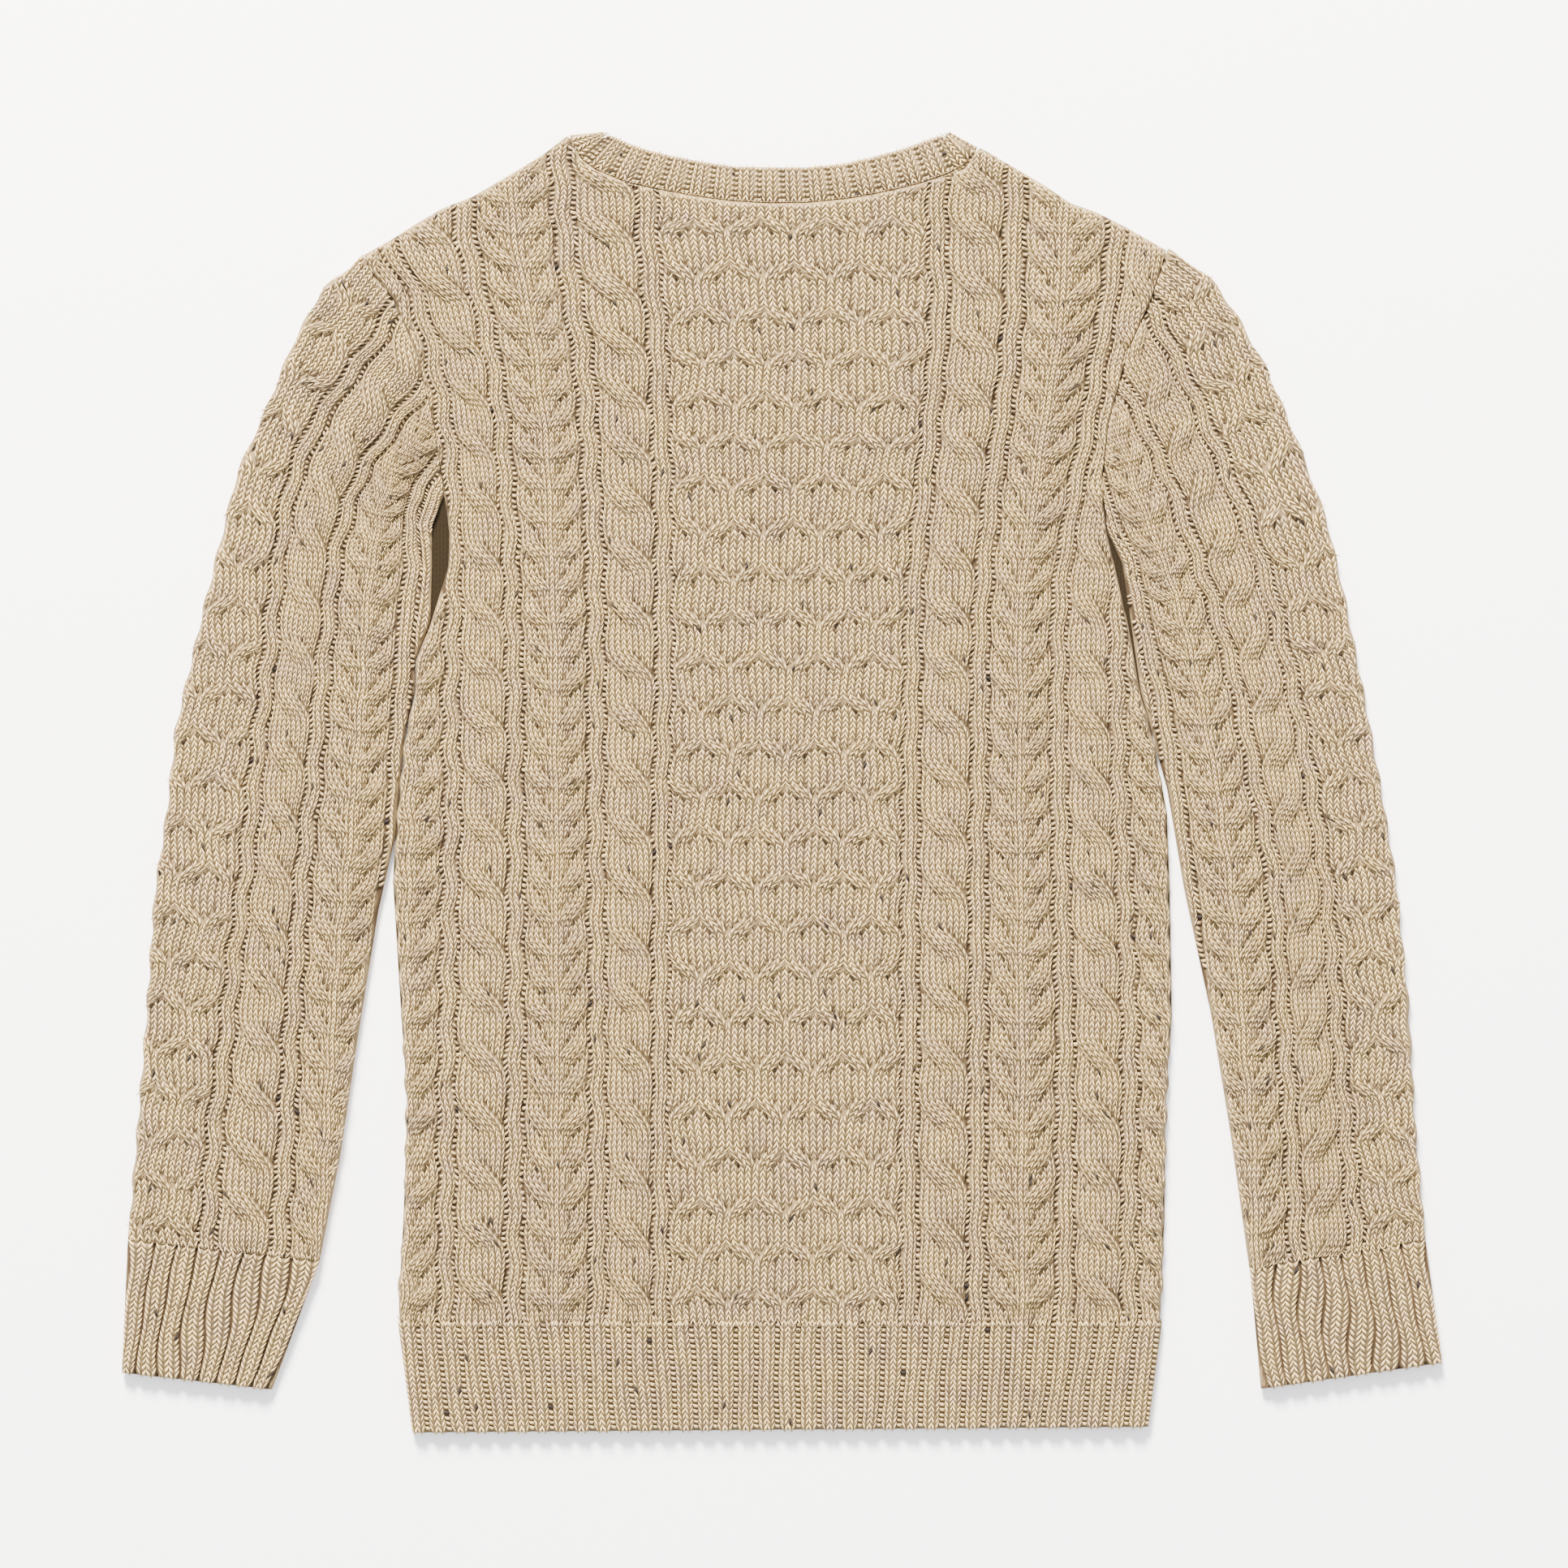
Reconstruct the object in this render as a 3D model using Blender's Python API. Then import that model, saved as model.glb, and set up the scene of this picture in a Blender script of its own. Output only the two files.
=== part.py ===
"""Cable-knit crew-neck sweater laid flat with its back up, as nine closed cloth pieces, in metres."""

import math

import bmesh
import bpy
import numpy as np

for old in list(bpy.data.objects):
    bpy.data.objects.remove(old)

# Every size below is in millimetres. X is to the right of the garment's middle.
# Down is from its middle towards the hem.
MM = 0.001

# Gaps between the pieces.
SEAM = 0.3
SLEEVE_SEAM = 0.6
NECK_SEAM_GAP = 0.48

# Heights over the table: top of the front layer, inside of the back layer, plain knit and the rolled edge.
FRONT_TOP = 3.6
BACK_IN = 4.0
GROUND = 2.0
EDGE_LOW = 1.3

# How wide the edges roll, and where the middle of a folded side lies.
ROLL = 7.0
RIB_ROLL = 5.6
SIDE_MIDDLE = 2.6
UNDER_INSET = 2.0
SLOT_INSET = 3.4
BEVEL, BEVEL_HEIGHT = 1.6, 1.0

# Cable heights over the plain knit, and half the flat width of a twin rib.
RIDGE, ROPE, SHOE, CELL, STRAND = 1.3, 2.9, 2.5, 1.0, 2.6
TWIN_HALF, TWIN_TOP = 4.4, 2.3
GROUP = 16.28

# How closely columns may lie to each other at a cut edge.
COLUMN_STEP = 0.46

# Rows of knitting and where they lie down the back: one honeycomb line every 8 rows.
ROW_AT = {
    "row": (-20, 0, 16, 32, 48, 64, 80, 96, 112, 128, 144, 160, 176, 192, 200),
    "down": (-370.5, -314.9, -263.8, -216.4, -169.5, -118, -68.3, -19.1, 30.1, 81.2, 132.2, 185.6, 240.4,
             291.4, 316.7),
}

# Where each column of the back lies at some heights: both edges and the eight twin ribs.
BACK = {
    "down": (-374.2, -305.2, -298.8, -289.1, -273.9, -243.1, -202.2, -171.3, -140.5, -121.2, -89, -68.3,
             -52.2, -24.2, 16.8, 55.9, 131.8, 181, 246.8, 291.9, 313),
    "edge_l": (-245.4, -240.8, -237.1, -232.5, -220.1, -206.8, -197.1, -192.5, -188.4, -189.3, -199.4,
               -207.7, -207.7, -213.7, -217.8, -220.1, -215.5, -213.2, -214.1, -217.8, -216),
    "a": (-233.9, -224.7, -221, -215.1, -206.3, -197.1, -189.8, -185.6, -185.6, -185.6, -186.1, -186.5,
          -187, -187, -186.5, -187.9, -189.3, -189.8, -190.2, -189.8, -189.8),
    "b": (-185.6, -178.7, -177.3, -175, -171.8, -165.4, -158.9, -157.1, -154.8, -153.9, -153, -152,
          -151.6, -151.1, -150.7, -150.7, -150.7, -151.1, -151.6, -151.6, -151.6),
    "c": (-126.7, -123.1, -122.1, -120.8, -118.5, -112.9, -109.7, -107.9, -106.5, -106, -105.6, -105.1,
          -105.1, -105.1, -105.1, -104.7, -104.2, -103.7, -103.7, -103.7, -103.7),
    "d": (-77.5, -75.2, -74.8, -73.8, -72.5, -69.7, -68.3, -67.4, -66.9, -66.5, -66.5, -66.5, -66.5,
          -67.4, -68.3, -68.3, -68.8, -68.8, -68.8, -68.8, -68.8),
    "e": (88.1, 88.1, 88.5, 89, 89.5, 88.1, 84.4, 81.2, 78, 76.1, 74.3, 73.8, 73.8, 73.4, 72.9, 72.5,
          72.5, 72, 72, 72, 72),
    "f": (134.1, 130.9, 130.9, 131.3, 131.8, 129, 124.4, 120.3, 117.1, 114.8, 112.9, 112.5, 112.5, 112,
          111.6, 111.1, 111.1, 110.6, 110.2, 110.2, 110.2),
    "g": (189.3, 190.2, 189.3, 187.9, 186.1, 181, 174.1, 167.7, 163.1, 159.8, 157.1, 157.1, 157.1, 157.1,
          157.6, 158.5, 160.8, 160.8, 160.8, 160.8, 160.8),
    "h": (219.2, 217.4, 215.5, 212.3, 207.7, 200.8, 189.8, 185.2, 187, 187.9, 189.3, 189.8, 189.8, 190.2,
          192.1, 193.9, 197.1, 197.1, 197.1, 197.1, 197.1),
    "edge_r": (221.5, 219.2, 216.9, 214.1, 209.1, 195.3, 184.7, 181, 184.2, 188.8, 196.2, 199.9, 202.6,
               210.5, 217.8, 219.2, 220.6, 218.3, 216.4, 215.5, 213.2),
}
LETTERS = "abcdefgh"

# The twin ribs in the knit itself, in steps from the first one.
TWINS = (0, 36.8, 82.8, 119.6, 259, 296.7, 342.7, 379.5)

# The bands of cable: kind, first and last step across, which side crosses over, and the first crossing's row.
BANDS = (
    ("shoe", -42.3, -4.6, 1, 0),
    ("rope", 4.6, 32.2, 1, 1),
    ("shoe", 42.3, 77.3, 1, 0),
    ("rope", 87.4, 115, 1, 1),
    ("cell", 124.2, 254.4, 1, 0),
    ("rope", 264, 291.6, 1, 1),
    ("shoe", 302.2, 337.2, 1, 0),
    ("rope", 347.3, 374.9, 1, 1),
    ("shoe", 384.1, 421.8, 1, 0),
)

# Shoulders and neck seam of the back.
SHOULDER_L = ((-237.1, -298.8), (-220.6, -308), (-206.3, -317.2), (-192.1, -325.4), (-175.5, -331.4),
              (-158.9, -340.6), (-146.5, -345.7), (-134.6, -355.4), (-121.7, -362.2))
NECK_SEAM = ((-121.7, -361.3), (-115.7, -348.4), (-105.1, -342.5), (-88.1, -339.4), (-71.5, -335.8),
             (-49.9, -331.7), (-28.8, -328.9), (-7.1, -327.6), (15, -328), (38, -330.3), (55.9, -333.5),
             (75.7, -338), (90.4, -341.6), (103.7, -345.2), (111.6, -355.8))
SHOULDER_R = ((111.6, -356.7), (118.9, -352.6), (130.4, -345.7), (151.1, -335.6), (163.5, -328.2),
              (177.8, -323.2), (194.3, -314.9), (217.8, -301.5))

# Where the back meets its hem rib.
HEM_LINE = 305.7

# Sleeves, cap to cuff: knit row, then where the outer edge, three twin ribs and the inner edge lie.
SLEEVE_L = {
    "row": (0, 10, 20.4, 31.6, 42.5, 53.8, 64.1, 87.1, 101.9, 116.5, 139.1, 159.6, 179.7),
    "outer_x": (-237.1, -261.1, -277.6, -292.3, -308.9, -319, -327.3, -343.9, -348.9, -355.8, -360.4,
                -365.5, -371),
    "outer_down": (-298.8, -279, -248.2, -212.3, -175.5, -134.6, -101.4, -30.6, 16.8, 62.8, 131.8, 197.1,
                   260.6),
    "one_x": (-210.9, -227, -246.3, -266.1, -278.5, -283.6, -287.3, -295.1, -300.2, -305.2, -313.9,
              -321.3, -325.9),
    "one_down": (-282.2, -254.2, -227.5, -198, -165.8, -130.4, -98.2, -26, 20.5, 66.5, 137.3, 201.7, 265.7),
    "two_x": (-185.6, -194.8, -213.2, -233.9, -244.5, -254.2, -256.9, -263.8, -268.4, -273, -277.6,
              -280.4, -285.4),
    "two_down": (-259.2, -230.7, -210.5, -180.6, -157.1, -126.7, -95, -24.2, 22.8, 68.8, 140.1, 206.3,
                 269.8),
    "three_x": (-162.6, -167.2, -185.6, -206.3, -210.9, -208.2, -213.2, -224.2, -231.2, -238.5, -245.4,
                -254.2, -265.7),
    "three_down": (-236.2, -210.9, -192.5, -167.2, -148.8, -124, -89.9, -22.8, 25.1, 71.1, 142.8, 210,
                   272.1),
    "inner_x": (-148.8, -154.3, -171.8, -192.5, -198.5, -198.5, -199.4, -214.1, -218.3, -228.9, -240.4,
                -250.5, -262.4),
    "inner_down": (-224.7, -200.3, -183.3, -160.8, -145.1, -121.2, -88.1, -22.3, 26, 72.9, 144.2, 212.3,
                   272.6),
}
SLEEVE_R = {
    "row": (0, 5.8, 14.3, 24.6, 38.9, 50.3, 61.8, 80.1, 96.3, 114.4, 137, 158.5, 181.3),
    "outer_x": (222, 241.7, 256.9, 274.4, 292.8, 308.9, 318.1, 329.6, 338.8, 348, 355.4, 359, 365),
    "outer_down": (-301.5, -286.8, -266.6, -235.3, -192.5, -148.8, -109.7, -52.2, -1.6, 53.6, 126.3,
                   193.4, 260.6),
    "one_x": (193.9, 208.2, 219.7, 233.9, 251.9, 265.2, 276.2, 290, 298.8, 308, 313.5, 319, 326.4),
    "one_down": (-282.2, -270.7, -246.3, -216.9, -175.5, -141.9, -107.4, -51.3, -0.7, 55.9, 127.2, 194.8,
                 266.6),
    "two_x": (166.3, 173.2, 187.9, 202.2, 219.2, 232.1, 243.6, 259.2, 269.3, 279.9, 284.1, 289.1, 291.9),
    "two_down": (-261.5, -252.3, -231.6, -207.7, -170, -137.8, -103.7, -49.9, 0.7, 57.3, 128.6, 196.2,
                 272.6),
    "three_x": (143.3, 147.9, 159.4, 175.5, 183.3, 196.7, 202.6, 226.1, 233, 240.8, 249.1, 258.8, 269.3),
    "three_down": (-240.8, -236.2, -217.8, -192.5, -155.7, -124, -100.5, -48.5, 2.1, 58.7, 130, 197.6,
                   275.3),
    "inner_x": (131.8, 136.4, 150.2, 166.3, 178.7, 193, 196.7, 204, 218.3, 227.9, 243.1, 254.2, 265.2),
    "inner_down": (-231.6, -229.3, -213.2, -187.9, -153.4, -123.1, -99.6, -47.6, 3, 59.6, 130.4, 198,
                   276.7),
}
SLEEVE_TWINS = (0, 36.8, 82.8)
SLEEVE_BANDS = (
    ("cell", -69.7, -4.6, 1, 0),
    ("rope", 4.6, 32.2, 1, 1),
    ("shoe", 42.3, 77.3, 1, 0),
    ("plain", 87.4, 110.4, 1, 0),
)

# Underarm points of the front, beside each sleeve.
UNDERARM_R = ((183.3, -144.2), (190.7, -122.6), (194.8, -99.6))
UNDERARM_L = ((-198, -88.1), (-196.7, -121.2), (-190.7, -146.5))
ARMHOLE_TOP, ARMHOLE_END = -305.7, -139.6

# Hem and cuffs: corners, each from the outer or left side, and how many ribs.
HEM = {"top": ((-217.8, 306.1), (215.5, 306.1)), "end": ((-209.5, 368.7), (207.7, 365.5)), "ribs": 36}
CUFF_L = {"top": ((-371, 260.2), (-262.3, 272.3)), "end": ((-374.2, 334.7), (-289.1, 344.3)), "ribs": 9}
CUFF_R = {"top": ((365, 260.1), (265.4, 276.2)), "end": ((374.2, 329.1), (271.6, 343.9)), "ribs": 9}

# Neckband: neck edge and seam of each section of the back arc, then of the front arc under it.
NECK_BACK = {
    "edge_x": (-101.4, -97.8, -90.9, -78.9, -64.6, -46.2, -27.4, -7.1, 13.6, 33.8, 50.4, 68.8, 84, 90.4,
               94.5),
    "edge_down": (-368.7, -366.9, -363.6, -359, -355.4, -351.7, -348.9, -348.4, -348.4, -350.3, -354,
                  -359, -364.6, -366.9, -368.7),
    "seam_x": (-121.2, -113.4, -103.7, -88.1, -71.5, -49.9, -28.8, -7.1, 15, 38, 55.9, 75.7, 93.2, 103.3,
               111.1),
    "seam_down": (-362.2, -351.2, -345.2, -339.7, -336, -331.9, -329.1, -327.8, -328.2, -330.5, -333.7,
                  -338.3, -344.3, -348.4, -357.2),
}
NECK_FRONT = {
    "edge_x": (-101.4, -95.5, -83.5, -61.4, -33.8, -3.9, 26, 53.6, 75.7, 88.1, 94.5),
    "edge_down": (-368.7, -351.2, -329.1, -307.1, -293.2, -288.7, -293.2, -307.1, -329.1, -351.2, -368.7),
    "seam_x": (-121.2, -114.8, -101, -73.4, -40.2, -3.9, 32.4, 66, 93.2, 107, 111.1),
    "seam_down": (-362.2, -343.9, -318.1, -291.4, -274.9, -268.9, -274.9, -291.4, -318.1, -342.9, -357.2),
}
NECK_RIBS = 17
NECK_RIDGE = 0.9
FOLD_REACH = 3.8
FOLD_RISE = 2.3

# Cloth colours: heathered oatmeal wool, a little darker in the ribbing. Linear red, green and blue.
WOOL = (0.56, 0.46, 0.33)
RIB_WOOL = (0.53, 0.43, 0.31)
CLOTH_ROUGHNESS = 0.92


def wool(name, colour):
    """Matt wool cloth for one piece."""
    material = bpy.data.materials.new(name + "_wool")
    material.use_nodes = True
    shader = material.node_tree.nodes["Principled BSDF"]
    shader.inputs["Base Color"].default_value = (*colour, 1.0)
    shader.inputs["Roughness"].default_value = CLOTH_ROUGHNESS
    shader.inputs["Metallic"].default_value = 0.0
    return material


def at(x, down, height):
    return (x, -down, height)


def smooth(t):
    t = min(max(t, 0.0), 1.0)
    return t * t * (3 - 2 * t)


def along_line(line, x):
    return float(np.interp(x, [p[0] for p in line], [p[1] for p in line]))


def distance(line, x, y):
    """How far a point lies from a line."""
    best = math.inf
    for (ax, ay), (bx, by) in zip(line, line[1:]):
        dx, dy = bx - ax, by - ay
        t = ((x - ax) * dx + (y - ay) * dy) / (dx * dx + dy * dy)
        t = min(max(t, 0.0), 1.0)
        best = min(best, math.hypot(x - ax - t * dx, y - ay - t * dy))
    return best


def quarter_round(t):
    """Height of a rounded edge: 0 at the edge and 1 inside it."""
    return math.sqrt(1 - (1 - min(max(t, 0.0), 1.0)) ** 2)


# Cables.
def hump(away, half):
    """A strand's round top, 1 on its middle and 0 at its sides."""
    t = min(abs(away) / half, 1.0)
    return math.sqrt(1 - t * t)


def crossing(across, row, width, pitch, side, first, reach, height):
    """Height of two strands that swap places every pitch rows, the one over the other."""
    turn = (row - first) / pitch
    near = turn - round(turn)
    swing = smooth(0.5 + near * pitch / (2 * reach)) * 2 - 1
    lift = 1 - smooth(abs(near) * pitch / (reach + 0.6))
    quarter = width / 4
    over = hump(across - side * swing * quarter, quarter * 1.15) * (height + 0.7 * lift)
    under = hump(across + side * swing * quarter, quarter * 1.15) * (height - 1.3 * lift)
    return max(over, under, 0.35 * height)


def honeycomb(across, row, first):
    """Height of the strands that zigzag between the lines of a honeycomb."""
    pitch = 8
    group = math.floor(across / GROUP)
    line = round((row - first) / pitch)
    turn = 1 if (group + line) % 2 else -1
    near = row - first - line * pitch
    swing = turn * (smooth(0.5 + near / 4.4) * 2 - 1)
    strand = hump(across - (group + 0.5) * GROUP - swing * GROUP / 4, GROUP * 0.353) * STRAND
    return max(strand * (1 - 0.25 * smooth(abs(near) / 4)), CELL)


def relief(across, row, bands, twins):
    """Height of the knit over its plain ground."""
    for twin in twins:
        if abs(across - twin) < TWIN_HALF:
            return RIDGE * smooth((TWIN_HALF - abs(across - twin)) / 1.8)
    for kind, low, high, side, first in bands:
        if not low < across < high:
            continue
        width = high - low
        fade = smooth(min(across - low, high - across) / 1.4)
        if kind == "rope":
            return fade * crossing(across - low - width / 2, row, width, 10, side, first, 3.0, ROPE)
        if kind == "shoe":
            middle = low + width / 2
            half = 1 if across < middle else -1
            centre = middle - half * width / 4
            return fade * crossing(across - centre, row, width / 2, 6, half * side, first, 2.2, SHOE)
        if kind == "cell":
            return fade * honeycomb(across - low, row, first)
        return fade * 0.9
    return 0.0


def rows_of(kind, low, high, first):
    """The rows that a band's columns need."""
    steps = {
        "rope": (10, (-2, 0, 2, 5)),
        "shoe": (6, (-1.4, 1.6)),
        "cell": (8, (-1.8, 1.8, 4)),
        "plain": (12, (0,)),
        "edge": (12, (0,)),
    }
    pitch, offsets = steps[kind]
    turns = range(math.floor((low - first) / pitch) - 1, math.ceil((high - first) / pitch) + 2)
    rows = [first + pitch * k + offset for k in turns for offset in offsets]
    return [row for row in rows if low < row < high]


def columns_of(first, last, bands, twins):
    """The steps across of every column of a knit face, with the kind of its rows."""
    shares_of = {"rope": (0.22, 0.5, 0.78), "shoe": (0.13, 0.34, 0.5, 0.66, 0.87), "plain": (0.4,)}
    found = []
    for kind, low, high, _, start in bands:
        if kind == "cell":
            count = round((high - low) / (GROUP / 2))
            shares = [(k + 0.5) / count for k in range(count)]
            found += [(low + 0.9, kind, start), (high - 0.9, kind, start)]
        else:
            shares = shares_of[kind]
        found += [(low + (high - low) * share, kind, start) for share in shares]
    for twin in twins:
        found += [(twin + step, "edge", 0) for step in (-TWIN_HALF, -TWIN_TOP, TWIN_TOP, TWIN_HALF)]
    return sorted(column for column in found if first < column[0] < last)


# Building closed pieces.
class Mesh:
    """Points in millimetres and faces of one piece."""

    def __init__(self, name):
        self.name = name
        self.points = []
        self.faces = []

    def add(self, point):
        self.points.append(point)
        return len(self.points) - 1

    def zip_lines(self, left, right):
        """Triangles between two lines of points that run the same way."""
        i = j = 0
        while i < len(left) - 1 or j < len(right) - 1:
            step_left = i < len(left) - 1
            if step_left and j < len(right) - 1:
                a = np.subtract(self.points[left[i + 1]][:2], self.points[right[j]][:2])
                b = np.subtract(self.points[left[i]][:2], self.points[right[j + 1]][:2])
                step_left = float(a @ a) <= float(b @ b)
            if step_left:
                self.faces.append((left[i], left[i + 1], right[j]))
                i += 1
            else:
                self.faces.append((left[i], right[j + 1], right[j]))
                j += 1

    def face_of(self, columns):
        """A knit face from its columns of points. Gives the loop round it."""
        lines = [[self.add(p) for p in column] for column in columns]
        for left, right in zip(lines, lines[1:]):
            self.zip_lines(left, right)
        ends = [line[-1] for line in lines[1:-1]]
        starts = [line[0] for line in lines[1:-1]]
        return lines[0] + ends + lines[-1][::-1] + starts[::-1]

    def wall(self, upper, lower):
        """Quads between two loops of as many points."""
        count = len(upper)
        for k in range(count):
            n = (k + 1) % count
            self.faces.append((upper[k], upper[n], lower[n], lower[k]))

    def lid(self, loop, height):
        """Closes a knit face with a wall down to a flat inside."""
        under = [self.add((self.points[i][0], self.points[i][1], height)) for i in loop]
        self.wall(loop, under)
        self.faces.append(tuple(under))

    def build(self, colour):
        used = sorted({i for face in self.faces for i in face})
        place = {old: new for new, old in enumerate(used)}
        points = [tuple(value * MM for value in self.points[i]) for i in used]
        faces = [tuple(place[i] for i in face) for face in self.faces]
        mesh = bpy.data.meshes.new(self.name)
        mesh.from_pydata(points, [], faces)
        work = bmesh.new()
        work.from_mesh(mesh)
        bmesh.ops.recalc_face_normals(work, faces=work.faces)
        bmesh.ops.triangulate(work, faces=work.faces)
        work.to_mesh(mesh)
        work.free()
        mesh.materials.append(wool(self.name, colour))
        piece = bpy.data.objects.new(self.name, mesh)
        bpy.context.scene.collection.objects.link(piece)
        return piece


def slab(name, outline, inset, colour):
    """A flat layer on the table, with a small bevel under the sides that are free."""
    mesh = Mesh(name)
    count = len(outline)
    top = [mesh.add(at(x, y, FRONT_TOP)) for x, y, _ in outline]
    side = [mesh.add(at(x, y, BEVEL_HEIGHT if free else 0.0)) for x, y, free in outline]
    base = []
    for k, (x, y, free) in enumerate(outline):
        px, py, _ = outline[k - 1]
        nx, ny, _ = outline[(k + 1) % count]
        dx, dy = nx - px, ny - py
        move = inset / math.hypot(dx, dy) if free else 0.0
        base.append(mesh.add(at(x - dy * move, y + dx * move, 0.0)))
    mesh.wall(top, side)
    mesh.wall(side, base)
    mesh.faces.append(tuple(top))
    mesh.faces.append(tuple(base[::-1]))
    return mesh.build(colour)


def close_tube(mesh, loop, left_count, across_count, right_count):
    """Closes a knit face into a flattened tube with a slot inside, open at both ends."""
    ends_from = left_count
    right_from = ends_from + across_count - 2
    starts_from = right_from + right_count
    left = loop[:ends_from]
    ends = loop[ends_from:right_from]
    right = loop[right_from:starts_from]
    starts = loop[starts_from:]
    way_down = np.subtract(mesh.points[left[-1]][:2], mesh.points[left[0]][:2])
    way_over = np.subtract(mesh.points[right[-1]][:2], mesh.points[left[0]][:2])
    hand = 1.0 if way_down[0] * way_over[1] - way_down[1] * way_over[0] > 0 else -1.0

    def pushed(ids, reach, height):
        """Side points moved into the tube."""
        found = []
        for k, i in enumerate(ids):
            before = np.array(mesh.points[ids[max(k - 1, 0)]][:2])
            after = np.array(mesh.points[ids[min(k + 1, len(ids) - 1)]][:2])
            way = (after - before) / np.linalg.norm(after - before) * hand * reach
            found.append(mesh.add((mesh.points[i][0] - way[1], mesh.points[i][1] + way[0], height)))
        return found

    def level(reach, height):
        """The loop at another height, its two sides moved in."""
        low_ends = [mesh.add((mesh.points[i][0], mesh.points[i][1], height)) for i in ends]
        low_starts = [mesh.add((mesh.points[i][0], mesh.points[i][1], height)) for i in starts]
        return pushed(left, reach, height) + low_ends + pushed(right, reach, height) + low_starts

    middle = level(0.0, SIDE_MIDDLE)
    base = level(UNDER_INSET, 0.0)
    slot_top = level(SLOT_INSET, BACK_IN)
    slot_base = [mesh.add((mesh.points[i][0], mesh.points[i][1], FRONT_TOP)) for i in slot_top]

    def strip(upper, lower, ids):
        for a, b in zip(ids, ids[1:]):
            mesh.faces.append((upper[a], upper[b], lower[b], lower[a]))

    for side in (range(ends_from), range(right_from, starts_from)):
        strip(loop, middle, side)
        strip(middle, base, side)
        strip(slot_top, slot_base, side)
    end_ids = [ends_from - 1] + list(range(ends_from, right_from + 1))
    start_ids = [starts_from - 1] + list(range(starts_from, len(loop))) + [0]
    for ids in (end_ids, start_ids):
        strip(loop, slot_top, ids)
        strip(slot_base, base, ids)
        for corner in (ids[0], ids[-1]):
            mesh.faces.append((loop[corner], slot_top[corner], slot_base[corner], middle[corner]))
            mesh.faces.append((middle[corner], slot_base[corner], base[corner]))
    mesh.faces.append(tuple(base))
    mesh.faces.append(tuple(slot_top))
    mesh.faces.append(tuple(slot_base))


# Back and front panels.
def back_at(name, down):
    return float(np.interp(down, BACK["down"], BACK[name]))


def back_x(across, down):
    """Where a step across the knit lies at a height, before the edges cut it."""
    places = [back_at(letter, down) for letter in LETTERS]
    if across < 0:
        return places[0] + across
    if across > TWINS[-1]:
        return places[-1] + across - TWINS[-1]
    return float(np.interp(across, TWINS, places))


def down_of(row):
    return float(np.interp(row, ROW_AT["row"], ROW_AT["down"]))


def row_of(down):
    return float(np.interp(down, ROW_AT["down"], ROW_AT["row"]))


def top_line(x):
    """Where the back ends at the shoulders and the neck seam."""
    return along_line(SHOULDER_L + NECK_SEAM[1:-1] + SHOULDER_R, x)


ARMHOLE_ROWS = [y for y in BACK["down"] if ARMHOLE_TOP < y < ARMHOLE_END]
ARMHOLE_L = tuple((back_at("edge_l", y), y) for y in ARMHOLE_ROWS)
ARMHOLE_R = tuple((back_at("edge_r", y), y) for y in ARMHOLE_ROWS)
SIDE_L = tuple((back_at("edge_l", y), y) for y in np.arange(-144.2, HEM_LINE, 13.8))
SIDE_R = tuple((back_at("edge_r", y), y) for y in np.arange(-162.6, HEM_LINE, 13.8))


def back_roll(x, down):
    """1 inside the back, less where its edge rolls down to the front."""
    near = min(distance(line, x, down) for line in (SIDE_L, SIDE_R, SHOULDER_L, SHOULDER_R))
    return quarter_round(near / ROLL)


def back_column(across, kind, first, place, count):
    """One column of the back's face, from the shoulder or the neck seam to the hem line."""
    def x_at(down):
        left, right = back_at("edge_l", down), back_at("edge_r", down)
        low, high = left + COLUMN_STEP * place, right - COLUMN_STEP * (count - 1 - place)
        return min(max(back_x(across, down), low), high)

    start = -351.2
    for _ in range(30):
        start = 0.5 * start + 0.5 * top_line(x_at(start))
    rows = rows_of(kind, row_of(start) + 0.8, row_of(HEM_LINE) - 0.6, first)
    line = []
    for down in [start] + [down_of(row) for row in rows] + [HEM_LINE]:
        x = x_at(down)
        up = GROUND - EDGE_LOW + relief(across, row_of(down), BANDS, TWINS)
        line.append(at(x, down, BACK_IN + EDGE_LOW + up * back_roll(x, down)))
    return line


def back_side(name, start):
    """The back's left or right edge, rolled down."""
    downs = [start] + [y for y in BACK["down"] if start + 2.3 < y < HEM_LINE - 2.3] + [HEM_LINE]
    spots = [(back_at(name, down), down) for down in downs]
    rise = GROUND - EDGE_LOW
    return [at(x, down, BACK_IN + EDGE_LOW + rise * back_roll(x, down)) for x, down in spots]


def back_panel():
    mesh = Mesh("back_panel")
    columns = columns_of(-33.1, 408.5, BANDS, TWINS)
    lines = [back_side("edge_l", -298.8)]
    for k, (across, kind, first) in enumerate(columns):
        lines.append(back_column(across, kind, first, k + 1, len(columns) + 2))
    lines.append(back_side("edge_r", -301.5))
    mesh.lid(mesh.face_of(lines), BACK_IN)
    return mesh.build(WOOL)


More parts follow.
